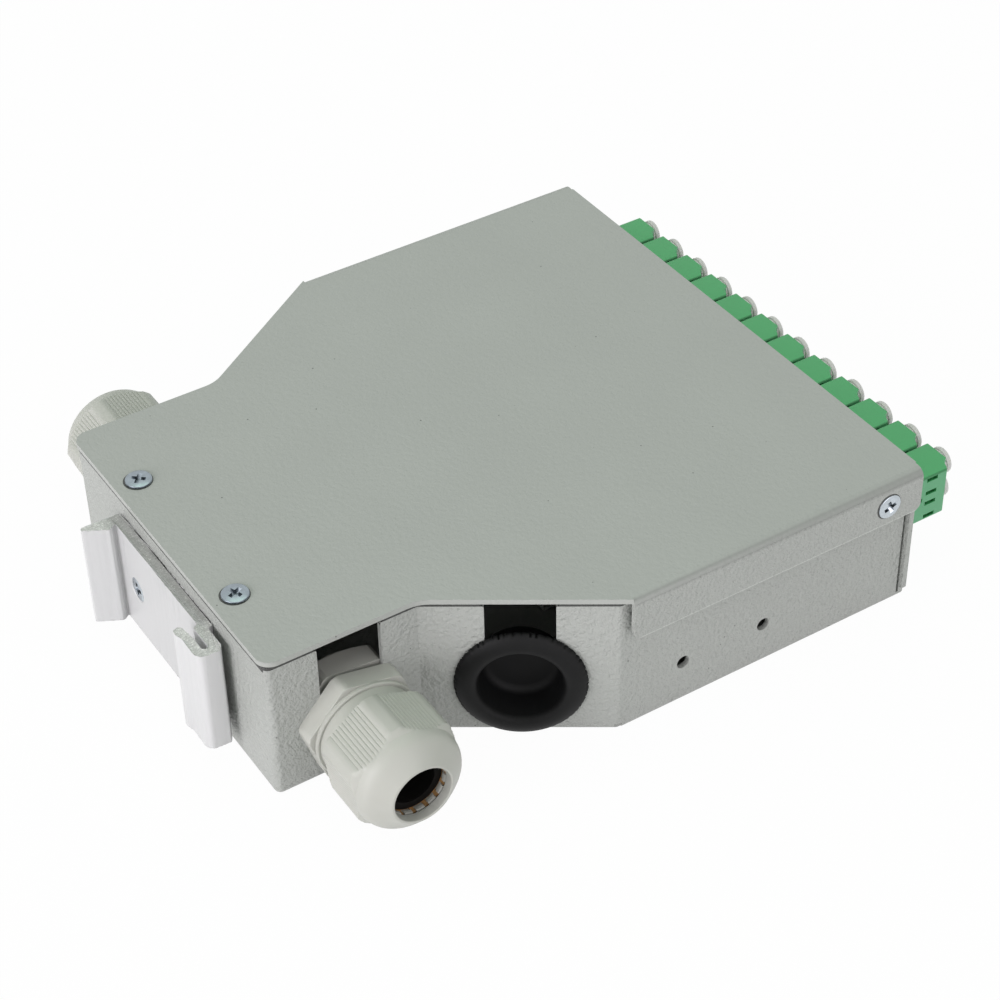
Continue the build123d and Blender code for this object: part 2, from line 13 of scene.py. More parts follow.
import bmesh
import bpy
from mathutils import Matrix, Vector


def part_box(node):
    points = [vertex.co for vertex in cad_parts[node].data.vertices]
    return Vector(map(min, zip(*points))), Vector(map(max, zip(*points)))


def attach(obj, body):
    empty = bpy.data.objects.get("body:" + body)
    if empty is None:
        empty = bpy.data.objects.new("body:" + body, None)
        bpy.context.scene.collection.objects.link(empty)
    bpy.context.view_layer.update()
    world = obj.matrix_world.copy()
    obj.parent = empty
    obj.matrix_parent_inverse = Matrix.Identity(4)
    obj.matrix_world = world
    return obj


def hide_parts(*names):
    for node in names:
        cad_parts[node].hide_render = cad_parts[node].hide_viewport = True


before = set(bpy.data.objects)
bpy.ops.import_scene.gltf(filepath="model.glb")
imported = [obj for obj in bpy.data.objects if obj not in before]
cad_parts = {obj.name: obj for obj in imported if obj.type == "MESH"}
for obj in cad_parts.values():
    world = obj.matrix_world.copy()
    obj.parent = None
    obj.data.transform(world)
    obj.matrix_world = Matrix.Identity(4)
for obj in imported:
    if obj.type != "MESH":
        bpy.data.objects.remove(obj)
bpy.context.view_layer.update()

LOG = logging.getLogger("fibre_box")
MM = 0.001
ROOT_BODY = "box"
WELD = 1e-7
SCREW_R = 2.8 * MM

MIX_COLOUR = 2  # Colour output of a mix node
MIX_LOW, MIX_HIGH = 6, 7  # Its colour inputs

Point = tuple[float, float]
Colour = tuple[float, float, float]
Source = bpy.types.Node | tuple[bpy.types.Node, str]  # A node's main output, or a named one


class Side(Enum):
    """The two long sides of the box."""

    NEAR = -1
    FAR = 1

    @property
    def word(self) -> str:
        """The side's word in the frame's node names.

        Returns:
            The lower-case word.
        """
        return self.name.lower()


class TreeBench:
    """Lays out the node tree of one material."""

    def __init__(self, name: str) -> None:
        """Start an empty material.

        Args:
            name: Name of the new material.
        """
        self.material = bpy.data.materials.new(name)
        self.material.use_nodes = True
        self.tree = self.material.node_tree
        self.tree.nodes.clear()
        self.output = self.tree.nodes.new("ShaderNodeOutputMaterial")
        self.shader = self.tree.nodes.new("ShaderNodeBsdfPrincipled")
        self.link(self.shader, self.output, "Surface")
        self.place = self.tree.nodes.new("ShaderNodeTexCoord")

    def node(self, kind: str, settings: dict | None = None, **sockets: object) -> bpy.types.Node:
        """Add a node and fill in its sockets.

        Args:
            kind: Blender's type name without the ShaderNode prefix.
            settings: Attributes to set on the node itself.
            **sockets: Values for input sockets, with underscores for spaces.

        Returns:
            The new node.
        """
        made = self.tree.nodes.new("ShaderNode" + kind)
        for key, value in (settings or {}).items():
            setattr(made, key, value)
        for key, value in sockets.items():
            made.inputs[key.replace("_", " ")].default_value = value
        return made

    def link(self, source: Source, target: bpy.types.Node, into: str | int) -> None:
        """Join an output socket to an input socket.

        Args:
            source: What gives the value.
            target: Node that takes the value.
            into: Its input socket.
        """
        if isinstance(source, tuple):
            given = source[0].outputs[source[1]]
        else:
            given = source.outputs[MIX_COLOUR if source.bl_idname == "ShaderNodeMix" else 0]
        self.tree.links.new(given, target.inputs[into])

    def shade(self, **sockets: object) -> None:
        """Set constants on the shader's own sockets.

        Args:
            **sockets: Values by socket name, with underscores for spaces.
        """
        for key, value in sockets.items():
            self.shader.inputs[key.replace("_", " ")].default_value = value

    def noise(self, size: float, detail: float = 2.0,
              stretch: Colour = (1, 1, 1)) -> bpy.types.Node:
        """Add a noise pattern in the object's own space.

        Args:
            size: Size of one cell in metres.
            detail: Number of finer octaves.
            stretch: Factors on the three axes.

        Returns:
            The noise node.
        """
        fit = self.node("Mapping")
        fit.inputs["Scale"].default_value = stretch
        self.link((self.place, "Object"), fit, "Vector")
        cloud = self.node("TexNoise", Scale=1.0 / size, Detail=detail, Roughness=0.55)
        self.link(fit, cloud, "Vector")
        return cloud

    def ramp(self, source: Source, stops: Sequence[tuple[float, Colour]]) -> bpy.types.Node:
        """Turn a value into a colour.

        Args:
            source: What gives the value.
            stops: Positions with their colours.

        Returns:
            The colour ramp node.
        """
        band = self.node("ValToRGB")
        for element, (at, colour) in zip(band.color_ramp.elements, (stops[0], stops[-1])):
            element.position = at
            element.color = (*colour, 1)
        for at, colour in stops[1:-1]:
            band.color_ramp.elements.new(at).color = (*colour, 1)
        self.link(source, band, "Fac")
        return band

    def blend(self, mask: Source, low: Source, high: Source) -> bpy.types.Node:
        """Mix two colours by a mask.

        Args:
            mask: What gives the factor.
            low: Colour at 0.
            high: Colour at 1.

        Returns:
            The mix node.
        """
        mix = self.node("Mix", {"data_type": "RGBA"})
        for source, into in ((mask, 0), (low, MIX_LOW), (high, MIX_HIGH)):
            self.link(source, mix, into)
        return mix

    def flat(self, colour: Colour) -> bpy.types.Node:
        """Add a plain colour for a mask to bring in.

        Args:
            colour: The colour.

        Returns:
            The colour node.
        """
        made = self.node("RGB")
        made.outputs[0].default_value = (*colour, 1)
        return made

    def split(self, source: bpy.types.Node, out: str) -> bpy.types.Node:
        """Take a vector apart.

        Args:
            source: Node that gives the vector.
            out: Its output socket.

        Returns:
            The node with the three parts.
        """
        made = self.node("SeparateXYZ")
        self.link((source, out), made, "Vector")
        return made

    def spot(self) -> bpy.types.Node:
        """Find the place on the object.

        Returns:
            The node with X, Y and Z.
        """
        return self.split(self.place, "Object")

    def facing(self, kind: str = "True Normal") -> bpy.types.Node:
        """Find which way the surface faces.

        Args:
            kind: Normal, or True Normal for the flat faces' own.

        Returns:
            The node with X, Y and Z.
        """
        return self.split(self.node("NewGeometry"), kind)

    def between(self, value: Source, low: float, high: float) -> bpy.types.Node:
        """Mask where a value lies between two limits.

        Args:
            value: What gives the value.
            low: Lower limit.
            high: Upper limit.

        Returns:
            The mask node.
        """
        above = self.maths("GREATER_THAN", value, low)
        below = self.maths("LESS_THAN", value, high)
        return self.maths("MULTIPLY", above, below)

    def fold_mask(self) -> bpy.types.Node:
        """Mask the turned strips between a level face and an upright one.

        Returns:
            The mask node.
        """
        turned = self.facing("Normal")
        return self.ramp((turned, "Z"), [(0.04, (0, 0, 0)), (0.30, (1, 1, 1)),
                                         (0.80, (1, 1, 1)), (0.97, (0, 0, 0))])

    def maths(self, operation: str, *values: float | Source) -> bpy.types.Node:
        """Add a math node.

        Args:
            operation: Blender's name of the operation.
            *values: Numbers, or what gives them.

        Returns:
            The math node.
        """
        made = self.node("Math", {"operation": operation})
        for index, value in enumerate(values):
            if isinstance(value, (int, float)):
                made.inputs[index].default_value = value
            else:
                self.link(value, made, index)
        return made

    def spread(self, source: Source, **limits: float) -> bpy.types.Node:
        """Map a value from one range to another.

        Args:
            source: What gives the value.
            **limits: Limits of the ranges by socket name, with underscores for spaces.

        Returns:
            The mapping node.
        """
        made = self.node("MapRange", **limits)
        self.link(source, made, "Value")
        return made

    def near_axis(self, off: Source, along: Source, radius: float) -> bpy.types.Node:
        """Mask what lies within a radius of an axis.

        Args:
            off: Distance from the axis one way.
            along: Distance from it the other way.
            radius: The radius.

        Returns:
            The mask node.
        """
        square = self.maths("MULTIPLY", along, along)
        square = self.maths("MULTIPLY_ADD", off, off, square)
        return self.maths("LESS_THAN", square, radius ** 2)

    def bump(self, source: Source, depth: float, strength: float = 1.0,
             under: bpy.types.Node | None = None) -> bpy.types.Node:
        """Add a height pattern to the shader's normal.

        Args:
            source: What gives the height.
            depth: Height of the pattern in metres.
            strength: How strongly it tilts the normal.
            under: A bump node that this one is laid over.

        Returns:
            The bump node.
        """
        relief = self.node("Bump", Strength=strength, Distance=depth)
        self.link(source, relief, "Height")
        if under is not None:
            self.link(under, relief, "Normal")
        self.link(relief, self.shader, "Normal")
        return relief


def tinted(colour: Colour, factor: float) -> Colour:
    """Return the colour made lighter or darker by a factor.

    Args:
        colour: The colour.
        factor: The factor.

    Returns:
        The new colour.
    """
    return tuple(min(1.0, channel * factor) for channel in colour)


def placed(table: Sequence[Point], along: float = 0.0, out: float = 0.0) -> list[Point]:
    """Turn a table in millimetres into points measured from a given place.

    Args:
        table: Points as (distance along, distance out) in millimetres.
        along: Where the first distance starts, in metres.
        out: Where the second starts, in metres.

    Returns:
        The points in metres.
    """
    return [(along + x * MM, out + y * MM) for x, y in table]


@dataclass(frozen=True)
class Finish:
    """A surface finish that builds its own material."""

    name: str
    colour: Colour
    roughness: float = 0.5
    clouds: Point = (0.0, 0.0)  # Size, and how far the colour departs from its mean
    grain: tuple[float, ...] = ()  # Size, detail, depth and strength of a fine noise

    def build(self) -> bpy.types.Material:
        """Build the material.

        Returns:
            The finished material.
        """
        bench = TreeBench(self.name)
        self.lay(bench)
        return bench.material

    def lay(self, bench: TreeBench) -> None:
        """Lay the finish's nodes.

        Args:
            bench: The tree that takes them.
        """
        raise NotImplementedError

    def shaded(self, bench: TreeBench, mask: bpy.types.Node, under: bpy.types.Node,
               share: float) -> bpy.types.Node:
        """Lay a lighter or darker tone of the colour over what a mask shows.

        Args:
            bench: The tree that takes the nodes.
            mask: The mask.
            under: The colour where it is 0.
            share: Lightness of the tone, as a share of the colour.

        Returns:
            The blended colour.
        """
        return bench.blend(mask, under, bench.flat(tinted(self.colour, share)))

    def roughen(self, bench: TreeBench) -> None:
        """Lay the finish's grain.

        Args:
            bench: The tree that takes the nodes.
        """
        size, detail, depth, strength = self.grain
        bench.bump(bench.noise(size, detail), depth, strength)

    def mottle(self, bench: TreeBench) -> bpy.types.Node:
        """Vary the colour and roughness softly over the surface.

        Args:
            bench: The tree that takes the nodes.

        Returns:
            The colour.
        """
        size, spread = self.clouds
        cloud = bench.noise(size, 3.0)
        band = bench.ramp(cloud, [(0.3, tinted(self.colour, 1 - spread)),
                                  (0.7, tinted(self.colour, 1 + spread))])
        bench.link(band, bench.shader, "Base Color")
        rough = bench.spread(cloud, To_Min=self.roughness * 0.9,
                             To_Max=min(1.0, self.roughness * 1.12))
        bench.link(rough, bench.shader, "Roughness")
        return band


@dataclass(frozen=True)
class PowderCoat(Finish):
    """Baked powder paint with an orange-peel skin and a few dark specks."""

    clouds: Point = (26 * MM, 0.018)
    peel_size: float = 0.92 * MM
    peel_depth: float = 0.54 * MM
    peel_level: float = 0.22
    fine_share: float = 0.18
    calm_above: float = 34.2 * MM
    speck_size: float = 6.0 * MM
    speck_reach: float = 0.032
    speck_share: float = 0.45
    # Painted shadow under the cover's edge: heights of a dark band on the tray's walls, its lower
    # start on the front wall, and its darkness
    cover_shadow: Point = (0.0, 0.0)
    cover_shadow_front: float = 32.55 * MM
    cover_shadow_share: float = 0.13
    hem_highlight: Point = (0.0, 0.0)
    hem_highlight_share: float = 1.3
    fold_shade_share: float = 0.78
    seat_shadow_share: float = 0.14
    seat_shadows: tuple[tuple[int, Point, float], ...] = ()

    def lay(self, bench: TreeBench) -> None:
        """Lay clouds, specks, painted shade on the folds, a painted shadow under the cover's
        edge, a painted highlight on the flange's lower edge, painted shadows round the screws and
        two sizes of peel.

        Args:
            bench: The tree that takes them.
        """
        paint = self.mottle(bench)
        cells = bench.node("TexVoronoi", {"feature": "F1"}, Scale=1.0 / self.speck_size)
        bench.link((bench.place, "Object"), cells, "Vector")
        speck = bench.maths("LESS_THAN", cells, self.speck_reach)
        coat = self.shaded(bench, speck, paint, self.speck_share)
        # Painted shade: the turned strips of the folds drawn darker
        coat = self.shaded(bench, bench.fold_mask(), coat, self.fold_shade_share)
        spot, facing = bench.spot(), bench.facing()
        # Painted shadow: a dark band on the walls just under the cover's edge, reaching lower on
        # the front wall
        if self.cover_shadow[1]:
            line = bench.between((spot, "Z"), *self.cover_shadow)
            front = bench.maths("LESS_THAN", (facing, "X"), -0.9)
            lower = bench.between((spot, "Z"), self.cover_shadow_front, self.cover_shadow[1])
            lower = bench.maths("MULTIPLY", front, lower)
            line = bench.maths("MAXIMUM", line, lower)
            coat = self.shaded(bench, line, coat, self.cover_shadow_share)
        # Painted highlight: a lighter line along the flange's lower edge
        if self.hem_highlight[1]:
            line = bench.between((spot, "Z"), *self.hem_highlight)
            coat = self.shaded(bench, line, coat, self.hem_highlight_share)
        # Painted shadows: dark rings round the screws, each set a little off its screw's axis
        for axis, (x, across), radius in self.seat_shadows:
            seat = self.seat(bench, axis, x, across, radius)
            coat = self.shaded(bench, seat, coat, self.seat_shadow_share)
        bench.link(coat, bench.shader, "Base Color")
        peel = bench.noise(self.peel_size, 1.5)
        fine = bench.noise(self.peel_size * 0.35, 1.0)
        height = bench.maths("MULTIPLY_ADD", fine, self.fine_share, peel)
        flow = bench.spread((facing, "Z"), From_Min=0.2, From_Max=0.95, To_Min=1.0,
                            To_Max=self.peel_level)
        brim = bench.maths("GREATER_THAN", (spot, "Z"), self.calm_above)
        calm = bench.maths("MULTIPLY_ADD", brim, self.peel_level - 1.0, 1.0)
        flow = bench.maths("MINIMUM", flow, calm)
        height = bench.maths("MULTIPLY", height, flow)
        bench.bump(height, self.peel_depth)
        bench.shade(Specular_IOR_Level=0.45)

    @staticmethod
    def seat(bench: TreeBench, axis: int, x: float, across: float,
             radius: float) -> bpy.types.Node:
        """Mask the painted shadow round the seat of a pair of screws.

        Args:
            bench: The tree that takes the nodes.
            axis: Index of the screws' own axis, 1 for the sides or 2 for the top.
            x: The screws' place along X.
            across: Height of side screws, or distance of top screws from the centre line.
            radius: Radius of the seat.

        Returns:
            The mask node.
        """
        spot = bench.spot()
        if axis == 1:
            off = bench.maths("SUBTRACT", (spot, "Z"), across)
        else:
            away = bench.maths("ABSOLUTE", (spot, "Y"))
            off = bench.maths("SUBTRACT", away, across)
        return bench.near_axis(off, bench.maths("SUBTRACT", (spot, "X"), x), radius)


@dataclass(frozen=True)
class Extrusion(Finish):
    """Pale anodised extrusion with die lines along it and rough sawn ends."""

    sawn_colour: Colour = (0.55, 0.555, 0.535)
    sawn_above: float = 0.8
    sawn_rough: float = 0.75
    plate_shade_share: float = 0.90
    # Width and colour of a painted shadow line along the sawn ends' back edge at the box wall
    gap: float = 0.36 * MM
    gap_shade_colour: Colour = (0.02, 0.02, 0.018)
    metal: float = 0.06
    # Where the painted shade on the plate starts along X, and the clip's back edge at the box
    # wall
    back: Point = (0.0, 0.0)
    hook_side: Point = (-19.0 * MM, -17.0 * MM)

    def lay(self, bench: TreeBench) -> None:
        """Lay the drawn faces, and the sawn look where a face points along Z, with painted shade
        on the plate and a painted shadow line at the box wall.

        Args:
            bench: The tree that takes them.
        """
        drawn = bench.noise(1.1 * MM, 2.0, (1, 1, 0.02))
        skin = bench.ramp(drawn, [(0.35, tinted(self.colour, 0.99)),
                                  (0.65, tinted(self.colour, 1.01))])
        cut = bench.noise(0.22 * MM, 3.0)
        tooth = bench.noise(0.5 * MM, 1.0, (0.6, 1.3, 1))
        grit = bench.maths("MULTIPLY_ADD", tooth, 0.5, cut)
        # The sawn ends' own look, and a darker painted shade of it for the plate by the box wall
        raw, sawn_shade = (bench.ramp(grit, [(at, tinted(self.sawn_colour, share))
                                       for at, share in stops])
                     for stops in (((0.45, 0.70), (0.75, 1.0), (0.95, 1.45)),
                                   ((0.5, 0.58), (0.85, 0.80), (1.0, 1.4))))
        split = bench.facing()
        upright = bench.maths("ABSOLUTE", (split, "Z"))
        mask = bench.maths("GREATER_THAN", upright, self.sawn_above)
        spot = bench.spot()
        ahead = bench.spread((spot, "X"), From_Min=self.back[0] - MM, From_Max=self.back[0] + MM)
        across = bench.spread((spot, "Y"), From_Min=self.hook_side[0],
                              From_Max=self.hook_side[1])
        # Painted shade: the plate next to the box wall drawn darker than the leg and hook
        plate = bench.maths("MULTIPLY", ahead, across)
        shade = self.shaded(bench, plate, skin, self.plate_shade_share)
        ends = bench.blend(plate, raw, sawn_shade)
        colour = bench.blend(mask, shade, ends)
        # Painted shadow: a near-black line on the sawn ends where the clip meets the box
        gap = bench.maths("GREATER_THAN", (spot, "X"), self.back[1] - self.gap)
        gap = bench.maths("MULTIPLY", gap, mask)
        colour = bench.blend(gap, colour, bench.flat(self.gap_shade_colour))
        bench.link(colour, bench.shader, "Base Color")
        rough = bench.spread(mask, To_Min=self.roughness, To_Max=self.sawn_rough)
        bench.link(rough, bench.shader, "Roughness")
        rise = bench.maths("MULTIPLY", grit, mask)
        under = bench.bump(drawn, 0.004 * MM, 0.4)
        bench.bump(rise, 0.05 * MM, 0.8, under)
        bench.shade(Metallic=self.metal)


@dataclass(frozen=True)
class Moulding(Finish):
    """Moulded plastic with a faint mould grain and some light inside it."""

    clouds: Point = (9 * MM, 0.025)
    grain: tuple[float, ...] = (0.5 * MM, 2.0, 0.006 * MM, 0.8)
    glow: float = 0.0
    glow_reach: float = 0.6 * MM

    def lay(self, bench: TreeBench) -> None:
        """Lay the clouds, the grain and the light inside.

        Args:
            bench: The tree that takes them.
        """
        self.mottle(bench)
        self.roughen(bench)
        bench.shade(Specular_IOR_Level=0.45)
        if self.glow:
            bench.shade(Subsurface_Weight=self.glow, Subsurface_Scale=self.glow_reach,
                        Subsurface_Radius=(1.0, 1.0, 0.9))


@dataclass(frozen=True)
class AdapterGreen(Moulding):
    """Green moulding with a painted sheen that makes its sides paler than its top, and painted
    shade that makes its edges darker.
    """

    side_sheen_colour: Colour = (0.125, 0.41, 0.205)
    edge_shade_share: float = 0.55

    def lay(self, bench: TreeBench) -> None:
        """Lay the moulding, then the painted sheen of its sides and the painted shade of its
        edges.

        Args:
            bench: The tree that takes them.
        """
        super().lay(bench)
        top = bench.shader.inputs["Base Color"].links[0].from_node
        turned = bench.facing("Normal")
        # Painted sheen: faces that point along Y get a paler green
        aside = bench.maths("GREATER_THAN", bench.maths("ABSOLUTE", (turned, "Y")), 0.7)
        skin = bench.blend(aside, top, bench.flat(self.side_sheen_colour))
        # Painted shade: the rounded edges between top and sides drawn darker
        skin = self.shaded(bench, bench.fold_mask(), skin, self.edge_shade_share)
        bench.link(skin, bench.shader, "Base Color")


@dataclass(frozen=True)
class Rubber(Finish):
    """Dull soft rubber with dust caught in its grain."""

    grain: tuple[float, ...] = (0.28 * MM, 3.0, 0.012 * MM, 0.9)
    dust_size: float = 3.0 * MM
    dust: float = 2.2

    def lay(self, bench: TreeBench) -> None:
        """Lay the grain and the dusty lighter patches.

        Args:
            bench: The tree that takes them.
        """
        cloud = bench.noise(self.dust_size, 5.0)
        band = bench.ramp(cloud, [(0.40, self.colour), (0.62, tinted(self.colour, 1.25)),
                                  (0.80, tinted(self.colour, self.dust))])
        bench.link(band, bench.shader, "Base Color")
        self.roughen(bench)
        bench.shade(Roughness=self.roughness, Specular_IOR_Level=0.19)


@dataclass(frozen=True)
class SleeveRubber(Finish):
    """Tan rubber sleeve with painted shade in its bore, told apart by the distance from its axis.
    """

    grain: tuple[float, ...] = (0.3 * MM, 2.0, 0.01 * MM, 0.8)
    bore_shade_colour: Colour = (0.004, 0.0035, 0.003)
    axis_x: float = 0.0
    axis_z: float = 0.0
    bore_r: float = 6.5 * MM

    def lay(self, bench: TreeBench) -> None:
        """Lay the tan skin and the painted shade in the bore.

        Args:
            bench: The tree that takes them.
        """
        split = bench.spot()
        away_x = bench.maths("SUBTRACT", (split, "X"), self.axis_x)
        away_z = bench.maths("SUBTRACT", (split, "Z"), self.axis_z)
        # Painted shade: the bore near the axis drawn near-black
        mask = bench.near_axis(away_z, away_x, self.bore_r)
        colour = bench.blend(mask, bench.flat(self.colour), bench.flat(self.bore_shade_colour))
        bench.link(colour, bench.shader, "Base Color")
        self.roughen(bench)
        bench.shade(Roughness=self.roughness, Specular_IOR_Level=0.2)


@dataclass(frozen=True)
class ZincPlate(Finish):
    """Bright zinc plate with bluish clouds, and painted shade on a screw's sides and in its
    cross.
    """

    clouds: Point = (1.1 * MM, 0.10)
    grain: tuple[float, ...] = (0.16 * MM, 3.0, 0.006 * MM, 0.7)
    axis: str = "Z"
    side_shade_share: float = 0.28
    side_shade_below: float = 0.62

    def lay(self, bench: TreeBench) -> None:
        """Lay the clouds, the painted shade on the sides and the fine marks.

        Args:
            bench: The tree that takes them.
        """
        face = self.mottle(bench)
        turned = bench.facing()
        along = bench.maths("ABSOLUTE", (turned, self.axis))
        # Painted shade: faces that turn away from the screw's axis, the rim and the walls of the
        # cross, drawn darker
        side = bench.maths("LESS_THAN", along, self.side_shade_below)
        skin = self.shaded(bench, side, face, self.side_shade_share)
        bench.link(skin, bench.shader, "Base Color")
        self.roughen(bench)
        bench.shade(Metallic=1.0)


@dataclass(frozen=True)
class Foam(Finish):
    """Closed-cell adhesive foam."""

    clouds: Point = (5 * MM, 0.03)
    cell: float = 0.35 * MM
    cell_depth: float = 0.08 * MM

    def lay(self, bench: TreeBench) -> None:
        """Lay the open cells of the cut edges.

        Args:
            bench: The tree that takes them.
        """
        self.mottle(bench)
        cells = bench.node("TexVoronoi", {"feature": "SMOOTH_F1"}, Scale=1.0 / self.cell)
        bench.link((bench.place, "Object"), cells, "Vector")
        bench.bump(cells, self.cell_depth, 0.8)


class Palette:
    """Every finish of the box, built once."""

    def __init__(self) -> None:
        """Build the materials."""
        low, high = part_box("gland_seal_near")
        middle = (low + high) / 2
        coat = (0.388, 0.404, 0.381)
        top, side = self.screw_seat("top_screws"), self.screw_seat("side_screws")
        # The cover's paint carries a painted highlight on the flange's lower edge and painted
        # shadow rings round the screws, set a little off their axes
        self.paint = PowderCoat("powder_coat", coat, 0.42, hem_highlight=(25.2 * MM, 25.55 * MM), seat_shadows=(
            (2, (top[0] - 0.12 * MM, top[1]), 3.1 * MM),
            (1, (side[0] - 0.26 * MM, side[2] + 0.20 * MM), 3.0 * MM))).build()
        # The tray's paint carries the painted shadow band under the cover's edge
        self.tray_paint = PowderCoat("powder_coat_tray", coat, 0.42,
                                     cover_shadow=(33.2 * MM, 34.1 * MM)).build()
        clip_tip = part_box("rail_clip")[0][0]
        self.clip = Extrusion("clip_extrusion", (0.60, 0.605, 0.605), 0.40,
                              back=(clip_tip + 5.6 * MM, clip_tip + 9.4 * MM)).build()
        bright = (0.52, 0.57, 0.61)
        self.side_zinc = ZincPlate("zinc_side", bright, 0.26, axis="Y").build()
        self.clip_zinc = ZincPlate("zinc_clip", bright, 0.26, axis="X").build()
        # Painted shade: the top screws get a darker copy of the same zinc
        self.shaded_top_zinc = ZincPlate("zinc_top_shaded", (0.30, 0.345, 0.38), 0.34, side_shade_share=0.42).build()
        self.gland = Moulding("gland_polyamide", (0.461, 0.468, 0.428), 0.44, glow=0.2).build()
        self.seal = SleeveRubber("seal_rubber", (0.42, 0.24, 0.10), 0.6,
                                 axis_x=middle.x, axis_z=middle.z).build()
        self.plug = Rubber("plug_rubber", (0.0036, 0.0038, 0.0039), 0.56).build()
        self.adapter = AdapterGreen("adapter_green", (0.078, 0.42, 0.155), 0.42).build()
        self.cap = Moulding("cap_milky", (0.655, 0.645, 0.63), 0.38, glow=0.6).build()
        self.holder = Moulding("holder_white", (0.76, 0.77, 0.74), 0.4, glow=0.2).build()
        self.pad = Foam("pad_foam", (0.72, 0.72, 0.68), 0.85).build()

    @staticmethod
    def screw_seat(node: str) -> tuple[float, float, float]:
        """Find the place of a mirrored pair of screws.

        Args:
            node: The frame's node.

        Returns:
            X, distance from the centre line and height of the heads' middle.
        """
        low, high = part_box(node)
        return (low[0] + high[0]) / 2, high[1] - SCREW_R, (low[2] + high[2]) / 2


class Shape:
    """Makes meshes from turned profiles, outlines and blocks, and turns them to pieces."""

    @staticmethod
    def skin(rings: Sequence[Sequence[Vector]], capped: bool = False) -> bmesh.types.BMesh:
        """Bridge rings of equal count, and join the last ring to the first.

        Args:
            rings: Rings of points, each ring closed on itself.
            capped: Close both ends with a face instead.

        Returns:
            The mesh.
        """
        mesh = bmesh.new()
        rows = [[mesh.verts.new(point) for point in ring] for ring in rings]
        pairs = list(zip(rows, rows[1:])) + ([] if capped else [(rows[-1], rows[0])])
        for low, high in pairs:
            for i, _ in enumerate(low):
                j = (i + 1) % len(low)
                mesh.faces.new((low[i], low[j], high[j], high[i]))
        if capped:
            mesh.faces.new(rows[0][::-1])
            mesh.faces.new(rows[-1])
        else:
            bmesh.ops.remove_doubles(mesh, verts=mesh.verts, dist=WELD)
        bmesh.ops.recalc_face_normals(mesh, faces=mesh.faces)
        return mesh

    @staticmethod
    def circles(profile: Sequence[Point], steps: int) -> list[list[Vector]]:
        """Turn each point of a profile about X.

        Args:
            profile: Points as (distance along X, radius).
            steps: Number of steps round the axis.

        Returns:
            One ring for each point.
        """
        angles = [2 * math.pi * i / steps for i in range(steps)]
        return [[Vector((along, radius * math.cos(angle), radius * math.sin(angle)))
                 for angle in angles] for along, radius in profile]

    @staticmethod
    def turned(profile: Sequence[Point], steps: int) -> bmesh.types.BMesh:
        """Turn a closed profile about X.

        Args:
            profile: Points as (distance along X, radius), closed on itself.
            steps: Number of steps round the axis.

        Returns:
            The mesh.
        """
        return Shape.skin(Shape.circles(profile, steps))

    @staticmethod
    def rounded(corners: Sequence[Point], radius: float, steps: int) -> list[Point]:
        """Round every corner of a closed outline.

        Args:
            corners: The outline's corners in order.
            radius: Wanted corner radius, less where an edge is too short.
            steps: Number of steps round each corner.

        Returns:
            The rounded outline.
        """
        made: list[Point] = []
        count = len(corners)
        for i, corner in enumerate(corners):
            here = Vector(corner)
            back = Vector(corners[i - 1]) - here
            on = Vector(corners[(i + 1) % count]) - here
            turn = back.angle(on, math.pi)
            reach = radius / max(math.tan(turn / 2), 1e-3)
            reach = min(reach, 0.45 * back.length, 0.45 * on.length)
            start, end = here + back.normalized() * reach, here + on.normalized() * reach
            for step in range(steps + 1):
                t = step / steps
                bow = (1 - t) ** 2 * start + 2 * t * (1 - t) * here + t * t * end
                made.append((bow.x, bow.y))
        return made

    @staticmethod
    def plate(half_y: float, half_z: float, radius: float, steps: int) -> list[Point]:
        """Outline a rectangle with round corners about the axis.

        Args:
            half_y: Half its width.
            half_z: Half its height.
            radius: Radius of its corners.
            steps: Number of steps round each corner.

        Returns:
            The outline.
        """
        corners = [(-half_y, -half_z), (half_y, -half_z), (half_y, half_z), (-half_y, half_z)]
        return Shape.rounded(corners, radius, steps)

    @staticmethod
    def dense(outline: Sequence[Point], step: float) -> list[Point]:
        """Divide the long edges of a closed outline.

        Args:
            outline: The outline.
            step: Longest edge that stays.

        Returns:
            The outline with more points.
        """
        made: list[Point] = []
        for i, here in enumerate(outline):
            on = outline[(i + 1) % len(outline)]
            parts = max(1, math.ceil(math.dist(here, on) / step))
            for part in range(parts):
                t = part / parts
                made.append((here[0] + (on[0] - here[0]) * t, here[1] + (on[1] - here[1]) * t))
        return made

    @staticmethod
    def prism(outline: Sequence[Point], depth: float, start: float = 0.0) -> bmesh.types.BMesh:
        """Extrude an outline in YZ along X.

        Args:
            outline: Closed outline as (y, z) points.
            depth: Length along X.
            start: X of the first end.

        Returns:
            The mesh.
        """
        return Shape.skin([[(x, y, z) for y, z in outline] for x in (start, start + depth)],
                          capped=True)

    @staticmethod
    def block(low: Sequence[float], high: Sequence[float]) -> bmesh.types.BMesh:
        """Make a block between two corners.

        Args:
            low: Lowest corner.
            high: Highest corner.

        Returns:
            The mesh.
        """
        mesh = bmesh.new()
        centre = (Vector(low) + Vector(high)) / 2
        size = Vector(high) - Vector(low)
        spot = Matrix.Translation(centre) @ Matrix.Diagonal((*size, 1))
        bmesh.ops.create_cube(mesh, size=1.0, matrix=spot)
        return mesh

    @staticmethod
    def gather(parts: Sequence[bmesh.types.BMesh]) -> bmesh.types.BMesh:
        """Put several meshes into one.

        Args:
            parts: The meshes, which are freed.

        Returns:
            The joined mesh.
        """
        whole = bmesh.new()
        for part in parts:
            loose = bpy.data.meshes.new("loose")
            part.to_mesh(loose)
            part.free()
            whole.from_mesh(loose)
            bpy.data.meshes.remove(loose)
        return whole

